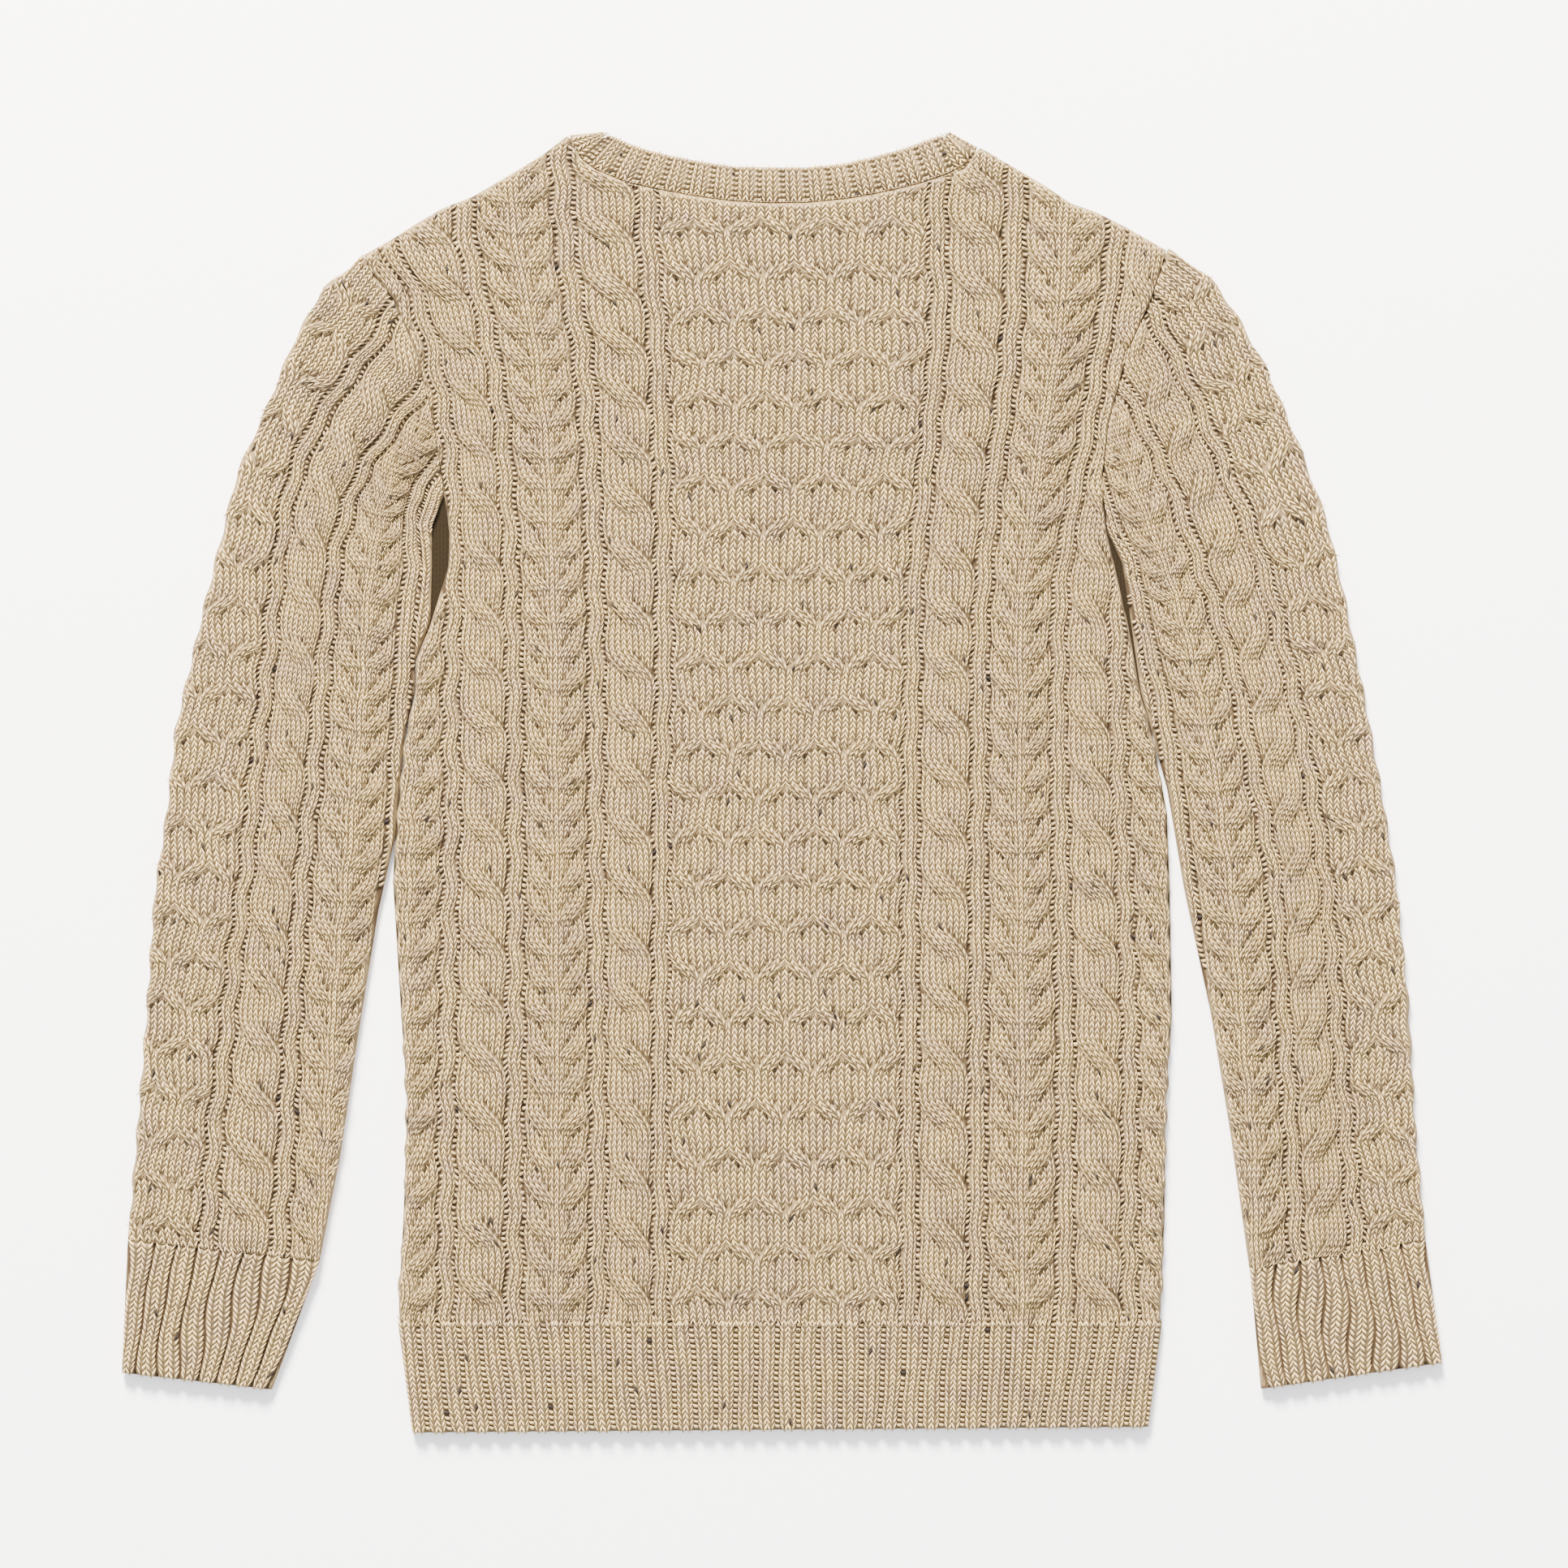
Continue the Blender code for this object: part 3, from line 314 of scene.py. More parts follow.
def crossing(low, high, wales, carried, side, reach, height, top):
    """The strand that crosses over the rest of its wales."""
    middle, wide = (low + high) / 2, (high - low) / wales
    travel = (wales - carried) * wide / 2

    def lift(near):
        return 1 - smooth(np.abs(near) / (reach + 0.4))

    def path(near, turn):
        return middle + side * (smooth(0.5 + near / (2 * reach)) * 2 - 1) * travel

    def rim(near, turn, across):
        """1 along the strand's two edges where it crosses."""
        share = np.abs(across - path(near, turn)) / (carried * wide / 2 * (1 + 0.26 * lift(near)))
        return np.clip(share, 0.0, 1.1) ** 4 * lift(near)

    def level(near, turn, across):
        return crown_of(height, top, across) + 1.3 * lift(near) - 1.3 * rim(near, turn, across)

    # The last function is painted shade on the strand's edges where it crosses.
    return (carried, wide, carried * wide / 2, path, level, lambda near: 0.26 * lift(near),
            lambda near, turn, across: 0.45 * rim(near, turn, across))


def honeycomb_strand(middle, wide, group):
    """Two wales of honeycomb that stay on top in a zigzag."""
    def lift(near):
        return 1 - smooth(np.abs(near) / 2.6)

    def path(near, turn):
        way = np.where((group + turn) % 2 == 0, -1.0, 1.0)
        return middle + way * (smooth(0.5 + near / 3.8) * 2 - 1) * wide

    def level(near, turn, across):
        return CELL + STRAND * lift(near) + 0 * across

    return 2, wide, wide, path, level, lambda near: 0.18 * lift(near), lambda near, turn, across: 0 * near


def relief(across, row, bands, twins):
    """Height of the knit's outline over its ground."""
    out = np.zeros(np.broadcast(across, row).shape)
    for twin in twins:
        out = np.maximum(out, RIDGE * smooth((4.5 - np.abs(across - twin)) / 1.8))
    for band in bands:
        low, high = band[1], band[2]
        inside = (across > low) & (across < high)
        if not inside.any():
            continue
        a, r = across[inside], row[inside]
        pitch, first, strands = strands_of(band)
        turn = np.round((r - first) / pitch)
        near = r - first - turn * pitch
        best = np.full(len(a), 0.4)
        for _, _, reach, path, level, spread, _ in strands:
            away = np.abs(a - path(near, turn)) - reach * (1 + spread(near))
            best = np.maximum(best, level(near, turn, a) * smooth((0.3 - away) / 0.8))
        out[inside] = best * smooth(np.minimum(a - low, high - a) / 1.0 + 0.3)
    return out


# Stitches: each leg of a knit V is one small closed bead with four corners and a crown.
class Stitches:
    """Gathers the legs of a piece's stitches."""

    def __init__(self, name, seed, slot="wool_body"):
        self.name = name
        self.slot = slot
        self.random = np.random.default_rng(seed)
        self.parts = []

    def uneven(self, shape):
        """Random numbers round 0, within 2 either way."""
        return self.random.standard_normal(shape).clip(-2, 2)

    def add(self, corners, z, up, shade):
        """Legs from their four corners, the height of their sides, their crown's rise and their painted
        shade.
        """
        count = len(z)
        if count:
            corners = np.stack(corners, 1)
            self.parts.append((corners, z, np.full(count, float(up)), np.broadcast_to(shade, count)))

    def build(self, material):
        """The piece with all the legs, each a little different."""
        corners, z, up, shade = (np.concatenate(x) for x in zip(*self.parts))
        count = len(z)
        up = up * (1 + 0.12 * self.uneven(count))
        z = z + 0.08 * self.uneven(count)
        corners = corners + 0.11 * self.uneven((count, 4, 2))
        points = np.zeros((count, 5, 3))
        points[:, :4, :2] = corners
        points[:, :4, 2] = z[:, None] + SIDES
        points[:, 4, :2] = corners.mean(1)
        points[:, 4, 2] = z + up
        points[..., 1] *= -1
        # Painted shade of each corner and crown, stronger or weaker at random from leg to leg.
        dark = (shade[:, None] + SHADES) * self.random.uniform(0.55, 1.4, count)[:, None]
        a, b = points[:, 1, :2] - points[:, 0, :2], points[:, 2, :2] - points[:, 0, :2]
        turned = a[:, 0] * b[:, 1] - a[:, 1] * b[:, 0] < 0
        points[turned, :4] = points[turned, 3::-1]
        dark[turned, :4] = dark[turned, 3::-1]
        pattern = np.array([(0, 1, 4), (1, 2, 4), (2, 3, 4), (3, 0, 4), (0, 3, 2), (0, 2, 1)])
        faces = (pattern[None] + 5 * np.arange(count)[:, None, None]).reshape(-1, 3)
        piece = mesh_piece(self.name, points.reshape(-1, 3), faces, material)
        fleck = np.zeros((count, 5))
        fleck[self.random.random(count) < FLECKED_CROWNS, 4] = 1
        fleck[self.random.random(count) < FLECKED_LEGS] = 1
        values(piece, "shade", dark.ravel())
        values(piece, "tone", np.repeat(self.random.random(count), 5))
        values(piece, "fleck", fleck.ravel())
        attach(piece, "root")
        return piece


def mesh_piece(name, points, faces, material):
    """A mesh object from arrays of points in millimetres and of faces."""
    mesh = bpy.data.meshes.new(name)
    mesh.from_pydata((np.asarray(points) * MM).tolist(), [], [tuple(int(i) for i in f) for f in faces])
    mesh.validate()
    mesh.shade_smooth()
    mesh.materials.append(material)
    piece = bpy.data.objects.new(name, mesh)
    bpy.context.scene.collection.objects.link(piece)
    bake_map(mesh)
    return piece


def mark_underside(piece, height):
    """1 on what faces the table, for the materials."""
    values(piece, "under", [float(point.co.z < height * MM) for point in piece.data.vertices])


def bake_map(mesh):
    """A map that lays the piece out flat: what faces up in one half, what faces down in the other."""
    def read(items, name, size, kind):
        out = np.empty(len(items) * size, kind)
        items.foreach_get(name, out)
        return out.reshape(-1, size)

    layer = mesh.uv_layers.new(name="OFBake")
    flat = read(mesh.vertices, "co", 3, float)[:, :2]
    normals = read(mesh.polygons, "normal", 3, float)
    below = np.repeat(normals[:, 2] < -0.05, read(mesh.polygons, "loop_total", 1, np.int32).ravel())
    low, high = flat.min(0), flat.max(0)
    uv = (flat[read(mesh.loops, "vertex_index", 1, np.int32).ravel()] - low) / np.maximum(high - low, 1e-6)
    uv[:, 0] = uv[:, 0] * 0.49 + np.where(below, 0.505, 0.005)
    layer.uv.foreach_set("vector", uv.astype(np.float32).ravel())


def values(piece, name, data):
    """One number for each point, for the materials."""
    layer = piece.data.attributes.new(name, "FLOAT", "POINT")
    layer.data.foreach_set("value", np.asarray(data, np.float32))


# The four corners of a leg, in wales from the V's middle and rows from its own: inner low, outer low,
# outer high, inner high.
LEG = ((-0.02, 0.80), (0.41, 0.02), (0.52, -0.96), (0.09, -0.18))
CROWN = 0.6
# Height and painted shade of the corners in turn, and the painted shade of the crown: the dark dash of
# painted shade is inside the V, between the legs.
SIDES = (-0.1, -0.2, -0.1, -0.3)
SHADES = (0.22, 0.50, 0.22, 0.62, 0.0)
# A purl loop lies on its side: corners in millimetres across and in rows.
LOOP = ((-1.6, 0.34), (1.6, 0.26), (1.6, -0.38), (-1.6, -0.30))
# How many legs have a dark nep on the crown, and how many are dark all over.
FLECKED_CROWNS = 0.012
FLECKED_LEGS = 0.0036


def knit_wales(stitches, band, rows, place, height):
    """Every V of a band: place turns across and row into the garment, height is the height there."""
    pitch, first, strands = strands_of(band)
    row = rows.astype(float)
    turn = np.round((row - first) / pitch)
    near = row - first - turn * pitch
    for order, (wales, wide, _, path, level, spread, deep) in enumerate(strands):
        for wale in range(wales):
            offset = (wale - (wales - 1) / 2) * wide
            here = path(near, turn) + offset * (1 + spread(near))
            shown = outside(strands[:order], near, turn, here) > -0.3 * wide
            for side in (-1, 1):
                spots = [
                    (path(near + r, turn) + (offset + side * x * wide) * (1 + spread(near + r)), row + r)
                    for x, r in LEG
                ]
                legs(stitches, spots, level(near, turn, here), shown, place, height, deep(near, turn, here))


def legs(stitches, spots, crown, shown, place, height, shade):
    """Adds the legs that are mostly on the piece; place has trimmed them to its rim."""
    corners, depths = zip(*(place(across, row) for across, row in spots))
    depths = np.array(depths)
    keep = shown & (depths.mean(0) > 0.2) & (depths.min(0) > -3.0)
    if not keep.any():
        return
    corners = [corner[keep] for corner in corners]
    z = height(sum(corners) / 4, crown[keep]) - STITCH_SUNK
    stitches.add(corners, z, CROWN, np.broadcast_to(shade, keep.shape)[keep])


def twin_rib(stitches, twin, rows, place, height):
    """Two knit wales, a little wavy, with a purl gutter on each side."""
    wide = 3.1
    row = rows.astype(float)
    yes = np.ones(len(row), bool)

    def wave(at):
        return 0.55 * np.sin(2 * math.pi * (at / 10 + twin / 97))

    for wale in (-0.5, 0.5):
        for side in (-1, 1):
            spots = [(twin + (wale + side * x) * wide + wave(row + r), row + r) for x, r in LEG]
            legs(stitches, spots, np.full(len(row), RIDGE), yes, place, height, 0.0)
    for side in (-1, 1):
        middle = twin + side * 4.6 + wave(row) + 0.35 * stitches.uneven(len(row))
        tilt = side * 0.16 + 0.10 * stitches.uneven(len(row))
        spots = [(middle + x, row + r + x * tilt) for x, r in LOOP]
        # The purl loops in the gutters carry painted shade.
        legs(stitches, spots, np.full(len(row), 0.0), yes, place, height, 0.40)


def bulge(row):
    """How far the ropes push the twin ribs aside between two crossings, in millimetres."""
    return -BULGE * np.cos(2 * math.pi * (row - 1) / 10)


def wobble(across, row):
    """How far hand tension moves a stitch, in millimetres across and down."""
    return (0.45 * np.sin(row / 5.3 + across / 11.0) + 0.3 * np.sin(row / 2.1 - across / 6.1),
            0.60 * np.sin(across / 9.7 + row / 13.0) + 0.55 * np.sin(across / 4.3 - row / 7.0))


# Back panel.
def back_column(name, down):
    """A column's place, with the knobbly outline that the cables give the free sides."""
    place = np.interp(down, BACK["down"], BACK[name])
    if name in ("edge_l", "edge_r"):
        way = 1 if name == "edge_r" else -1
        free = smooth((down + 60) / 40) * smooth((HEM_LINE - down) / 20)
        place = place + way * free * KNOB * np.cos(2 * math.pi * down / (6 * ROW))
    return place


def back_twins(down, row):
    """Where the eight twin ribs are."""
    return [back_column(k, down) + way * bulge(row) for k, way in zip("abcdefgh", (-1, 1) * 4)]


def back_place(across, row):
    """Where a step across the knit on a row lies on the back, trimmed to it, and how far inside it is."""
    down = np.interp(row, ROW_AT["row"], ROW_AT["down"])
    x = follow(across, TWINS, back_twins(down, row))
    sway, sag = wobble(across, row)
    x, down = x + sway, down + sag
    rim = np.where(down > ARMHOLE_END, 0.9, 0.1)
    left, right = back_column("edge_l", down) + rim, back_column("edge_r", down) - rim
    top, bottom = top_line(x) + 0.3, HEM_LINE + 2.0
    depth = np.minimum.reduce([x - left, right - x, down - top, bottom - down])
    return np.column_stack([np.clip(x, left, right), np.maximum(down, top)]), depth


def top_line(x):
    """The back's upper edge: shoulder, neck seam, shoulder."""
    line = SHOULDER_L + NECK_SEAM + SHOULDER_R
    return np.interp(x, [p[0] for p in line], [p[1] for p in line])


def back_roll(x, down):
    """1 inside the panel, less where its edge rolls down to the front or dips into a seam."""
    side = np.minimum(x - back_column("edge_l", down), back_column("edge_r", down) - x)
    shoulder = (down - top_line(x)) * 0.86
    free = np.where(down > ARMHOLE_END, side, 99.0)
    neck_left = smooth((x + 134) / 14) * smooth((5 - x) / 9)
    neck_right = smooth((124 - x) / 14) * smooth((x - 5) / 9)
    by_neck = ROLL * (neck_left + neck_right)
    free = np.minimum(free, np.where((x < -118) | (x > 108), shoulder + by_neck, 99.0))
    seam = np.where(down <= ARMHOLE_END, side, 99.0)
    return rounded(np.clip(free / ROLL, 0.0, 1.0)) * (1 - GROOVE * np.exp(-(seam / 2.2) ** 2))


def faded(crown, rows_left):
    """The knit's height, brought down to the ribbing's over its last rows."""
    share = smooth(rows_left / 4)
    return crown * share + np.minimum(crown, RIDGE) * (1 - share)


def back_height(spot, crown):
    """Height of a stitch's middle on the back."""
    crown = faded(crown, (HEM_LINE - spot[:, 1]) / ROW)
    return surface(crown, back_roll(spot[:, 0], spot[:, 1]))


def back_sheet(material):
    """The panel's cloth under its stitches: raised outside, plain inside."""
    across_count, down_count = 270, 200
    s = np.linspace(0, 1, across_count)
    top = np.full(across_count, -300.0)
    for _ in range(40):
        x = back_column("edge_l", top) * (1 - s) + back_column("edge_r", top) * s
        top = 0.5 * top + 0.5 * top_line(x)
    t = np.linspace(0, 1, down_count)[:, None]
    down = top[None] * (1 - t) + HEM_LINE * t
    x = back_column("edge_l", down) * (1 - s) + back_column("edge_r", down) * s
    flat_down, flat_x = down.ravel(), x.ravel()
    row = np.interp(flat_down, ROW_AT["down"], ROW_AT["row"])
    across = follow(flat_x, back_twins(flat_down, row), TWINS)
    up = faded(relief(across, row, BANDS, TWINS), (HEM_LINE - flat_down) / ROW)
    z = surface(up, back_roll(flat_x, flat_down)) - SUNK
    piece = plate("back_panel_cloth", flat_x, flat_down, z, across_count, down_count, BACK_IN, material)
    mark_top(piece, gutter_shade(across, TWINS), across_count, down_count, False)
    return piece


def plate(name, x, down, z, across_count, down_count, low, material):
    """A closed wall: a raised face over a plain inside."""
    points = np.column_stack([x, -down, z])
    grid = np.arange(across_count * down_count).reshape(down_count, across_count)
    faces = quads(grid)
    loop = np.concatenate([grid[0, :], grid[1:, -1], grid[-1, -2::-1], grid[-2:0:-1, 0]])
    under = len(points) + np.arange(len(loop))
    points = np.vstack([points, np.column_stack([points[loop][:, :2], np.full(len(loop), low)])])
    for k in range(len(loop)):
        after = (k + 1) % len(loop)
        faces.append((loop[k], loop[after], under[after], under[k]))
    faces.append(tuple(under[::-1]))
    piece = mesh_piece(name, points, faces, material)
    outwards(piece)
    flatten(piece)
    return piece


def flatten(piece):
    """Flat shading on the big flat faces."""
    for face in piece.data.polygons:
        if len(face.vertices) > 4:
            face.use_smooth = False


def quads(grid):
    """Four-cornered faces between neighbours of a grid."""
    a, b, c, d = grid[:-1, :-1], grid[1:, :-1], grid[1:, 1:], grid[:-1, 1:]
    return [tuple(q) for q in np.stack([a, b, c, d], -1).reshape(-1, 4)]


def round_again(grid):
    """A grid with its first column once more, so that its faces close."""
    return np.concatenate([grid, grid[:, :1]], 1)


def outwards(piece):
    """Faces of a closed piece turned to the outside."""
    work = bmesh.new()
    work.from_mesh(piece.data)
    bmesh.ops.recalc_face_normals(work, faces=work.faces)
    work.to_mesh(piece.data)
    work.free()
    piece.data.uv_layers.remove(piece.data.uv_layers["OFBake"])
    bake_map(piece.data)


# Sleeves.
def body_edge(down, left):
    """The back panel's side, without its knobs."""
    return np.interp(down, BACK["down"], BACK["edge_l" if left else "edge_r"])


def sleeve_spots(table, row, left):
    """Outer and inner ends of a row on a sleeve, and how far along it its three twin ribs are."""
    spot = {k: np.interp(row, table["row"], table[k]) for k in table if k != "row"}
    inner_x, inner_y = spot["inner_x"], spot["inner_y"]
    body = body_edge(inner_y, left) + (-0.6 if left else 0.6)
    beside = np.minimum(inner_x, body) if left else np.maximum(inner_x, body)
    inner_x = np.where(inner_y > -149, beside, inner_x)
    way_x, way_y = inner_x - spot["outer_x"], inner_y - spot["outer_y"]
    size = np.hypot(way_x, way_y)
    way_x, way_y = way_x / size, way_y / size
    along = [
        (spot[k + "_x"] - spot["outer_x"]) * way_x + (spot[k + "_y"] - spot["outer_y"]) * way_y
        for k in ("one", "two", "three")
    ]
    along[0], along[1] = along[0] - bulge(row), along[1] + bulge(row)
    knob = KNOB * np.cos(2 * math.pi * row / 8) * smooth((table["row"][-1] - row) / 8)
    outer_x, outer_y = spot["outer_x"] - way_x * knob, spot["outer_y"] - way_y * knob
    return outer_x, outer_y, way_x, way_y, size + knob, [place + knob for place in along]


def beyond_seam(x, down, left):
    """Whether a point is on the sleeve's side of the armhole seam."""
    edge = body_edge(down, left)
    return (down > SLEEVE_FREE) | (x < edge - SEAM if left else x > edge + SEAM)


def sleeve_place(table, left):
    """Places stitches on a sleeve, as back_place does on the back."""
    def place(across, row):
        ox, oy, wx, wy, size, along = sleeve_spots(table, row, left)
        sway, sag = wobble(across, row)
        reach = np.clip(follow(across, SLEEVE_TWINS, along) + sway, -2.0, size + 2.0)
        x, down = ox + wx * reach - wy * sag, oy + wy * reach + abs(wx) * sag
        rim = np.where(down > SLEEVE_FREE, 0.9, 0.0)
        side = 1 if left else -1
        body = np.where(down < SLEEVE_FREE, body_edge(down, left), side * 999.0)
        seam = (body - x) * side - SEAM
        left_over = (table["row"][-1] + 0.3 - row) * ROW
        depth = np.minimum.reduce([reach - 0.9, size - rim - reach, seam, left_over])
        return np.column_stack([x + side * np.minimum(seam, 0.0), down]), depth
    return place


def sleeve_row(table, x, down):
    """The row through a point, near enough for its distance from the edges."""
    rows = np.linspace(0, table["row"][-1], 400)
    ox, oy, ix, iy = (
        np.interp(rows, table["row"], table[key]) for key in ("outer_x", "outer_y", "inner_x", "inner_y"))
    out = np.empty(len(x))
    for k in range(0, len(x), 4000):
        px, py = x[k:k + 4000, None], down[k:k + 4000, None]
        cross = (ix - ox) * (py - oy) - (iy - oy) * (px - ox)
        out[k:k + 4000] = rows[np.abs(cross / np.hypot(ix - ox, iy - oy)).argmin(1)]
    return out


def sleeve_height(table, left):
    """Height of a stitch's middle on a sleeve."""
    def height(spot, crown):
        row = sleeve_row(table, spot[:, 0], spot[:, 1])
        ox, oy, wx, wy, size, _ = sleeve_spots(table, row, left)
        reach = (spot[:, 0] - ox) * wx + (spot[:, 1] - oy) * wy
        crown = faded(crown, table["row"][-1] - row)
        return surface(crown, sleeve_roll(reach, size, spot[:, 0], spot[:, 1], left))
    return height


def sleeve_roll(reach, size, x, down, left):
    """1 inside the sleeve, less where its sides round down or dip into the armhole seam."""
    t = np.clip(np.minimum(reach, size - reach) / ROLL, 0.0, 1.0)
    seam = np.where(down < -145, np.abs(body_edge(down, left) - x), 99.0)
    return rounded(t) * (1 - GROOVE * np.exp(-(seam / 2.4) ** 2))


def sleeve_sheet(name, table, left, material):
    """A sleeve's cloth under its stitches, cut off along the armhole seam."""
    across_count, row_count = 90, 170
    s = np.linspace(0, 1, across_count)
    last = table["row"][-1] - 0.35
    start = np.zeros(across_count)
    for row in np.arange(0, 120, 0.1):
        ox, oy, wx, wy, size, _ = sleeve_spots(table, np.full(across_count, row), left)
        inside = beyond_seam(ox + wx * size * s, oy + wy * size * s, left)
        start = np.where((start == 0) & inside, row + 1e-6, start)
    t = np.linspace(0, 1, row_count)[:, None]
    row = (start[None] * (1 - t) + last * t).ravel()
    share = np.tile(s, row_count)
    ox, oy, wx, wy, size, along = sleeve_spots(table, row, left)
    reach = share * size
    x, down = ox + wx * reach, oy + wy * reach
    across = follow(reach, along, SLEEVE_TWINS)
    up = faded(relief(across, row, SLEEVE_BANDS, SLEEVE_TWINS), last - row)
    z = surface(up, sleeve_roll(reach, size, x, down, left)) - SUNK
    piece = tube(name, x, down, z, across_count, row_count, material)
    mark_top(piece, gutter_shade(across, SLEEVE_TWINS), across_count, row_count, True)
    return piece


def mark_top(piece, marks, across_count, row_count, closed):
    """Writes the painted shade of the upper face, which has the first of each row's points."""
    ring = across_count + (TUBE_BELOW + 2 if closed else 0)
    shade = np.zeros(len(piece.data.vertices))
    upper = shade[:row_count * ring].reshape(row_count, ring)
    upper[:, :across_count] = marks.reshape(row_count, across_count)
    values(piece, "shade", shade)


# Points across a tube's underside and across each face of its slot.
TUBE_BELOW = 12


def tube(name, x, down, z, across_count, row_count, material):
    """A flattened tube: raised face, round sides, flat underside, and the slot inside, open at both ends."""
    x, down, z = (v.reshape(row_count, across_count) for v in (x, down, z))
    first, last = np.stack([x[:, 0], down[:, 0]], -1), np.stack([x[:, -1], down[:, -1]], -1)
    over = last - first
    over /= np.linalg.norm(over, axis=1)[:, None]
    columns = np.linspace(0, across_count - 1, TUBE_BELOW).round().astype(int)

    def inset(reach):
        """Points across each row, the outer ones pulled in by the reach."""
        spots = np.stack([x, down], -1)[:, columns]
        spots[:, 0] += over * reach
        spots[:, -1] -= over * reach
        return spots

    def at_height(spots, high):
        return np.stack([spots[..., 0], -spots[..., 1], np.full(spots.shape[:2], high)], -1)

    slot = inset(3.2)
    side = 2.6
    outer = np.concatenate([
        np.stack([x, -down, z], -1),
        at_height(last[:, None], side),
        at_height(inset(1.4)[:, ::-1], 0.0),
        at_height(first[:, None], side),
    ], 1)
    inner = np.concatenate([at_height(slot, BACK_IN), at_height(slot[:, ::-1], FRONT_TOP)], 1)
    points = np.vstack([outer.reshape(-1, 3), inner.reshape(-1, 3)])
    wide, thin = outer.shape[1], inner.shape[1]
    out_grid = np.arange(row_count * wide).reshape(row_count, wide)
    in_grid = row_count * wide + np.arange(row_count * thin).reshape(row_count, thin)
    faces = quads(round_again(out_grid)) + quads(round_again(in_grid))
    for end in (0, -1):
        top_out, top_in = out_grid[end, :across_count], in_grid[end, :TUBE_BELOW]
        low_out, low_in = out_grid[end, across_count + 1:-1], in_grid[end, TUBE_BELOW:]
        faces += zipped(top_out, top_in) + zipped(low_out, low_in)
        side_b, side_a = out_grid[end, across_count], out_grid[end, -1]
        faces.append((top_out[-1], side_b, low_in[0], top_in[-1]))
        faces.append((side_b, low_out[0], low_in[0]))
        faces.append((top_out[0], top_in[0], low_in[-1], side_a))
        faces.append((side_a, low_in[-1], low_out[-1]))
    piece = mesh_piece(name, points, faces, material)
    outwards(piece)
    mark_underside(piece, 3.0)
    return piece


def zipped(one, two):
    """Triangles between two lines of points."""
    faces, i, j = [], 0, 0
    while i < len(one) - 1 or j < len(two) - 1:
        if j == len(two) - 1 or (i < len(one) - 1 and (i + 1) / (len(one) - 1) <= (j + 1) / (len(two) - 1)):
            faces.append((one[i], one[i + 1], two[j]))
            i += 1
        else:
            faces.append((one[i], two[j + 1], two[j]))
            j += 1
    return faces


# Ribbing.
def rib_spot(table, t, s):
    """Where a share across and a share down the ribbing lie."""
    (ax, ay), (bx, by) = table["top"]
    (cx, cy), (dx, dy) = table["end"]
    x = (ax + (bx - ax) * t) * (1 - s) + (cx + (dx - cx) * t) * s
    y = (ay + (by - ay) * t) * (1 - s) + (cy + (dy - cy) * t) * s
    return x, y


def rib_roll(table, t, s):
    """1 inside the ribbing, less where its sides and its lower end round down."""
    (ax, ay), (bx, by) = table["top"]
    wide = math.hypot(bx - ax, by - ay)
    side = np.clip(np.minimum(t, 1 - t) * wide / (ROLL * 0.8), 0.0, 1.0)
    end = np.clip((1.015 - s) * 62 / 3.0, 0.0, 1.0)
    return rounded(side) * (0.55 + 0.45 * rounded(end))


def rib_wave(table, t, s):
    """How far a rib wanders to the side, in ribs: cuffs more than the hem."""
    swing = 0.16 if table["ribs"] < 20 else 0.05
    return swing * (np.sin(4.1 * s + 0.8 * t + 0.5) + 0.4 * np.sin(9.7 * s + 1.7 * t))


def rib_sheet(name, table, material, closed):
    """The ribbing's cloth under its stitches: a tube at the cuffs, one wall at the hem."""
    ribs = table["ribs"]
    across_count, down_count = ribs * 12 + 1, 26
    t, s = np.meshgrid(np.linspace(0, 1, across_count), np.linspace(0, 1, down_count))
    phase = (t * ribs - rib_wave(table, t * ribs, s)) % 1
    up = RIDGE * smooth((table["wale"] + 0.05 - np.abs(phase - table["wale"])) / 0.10)
    x, y = rib_spot(table, t, s)
    z = surface(up, rib_roll(table, t, s)) - SUNK
    # Painted shade in the gaps between the ribs, weaker at the hem.
    gap_shade = smooth((phase - 2 * table["wale"] + 0.08) / 0.06) * smooth((1.02 - phase) / 0.06)
    x, y, z = x.ravel(), y.ravel(), z.ravel()
    if closed:
        piece = tube(name, x, y, z, across_count, down_count, material)
    else:
        piece = plate(name, x, y, z, across_count, down_count, BACK_IN, material)
    mark_top(piece, gap_shade * (1.0 if closed else 0.35), across_count, down_count, closed)
    return piece


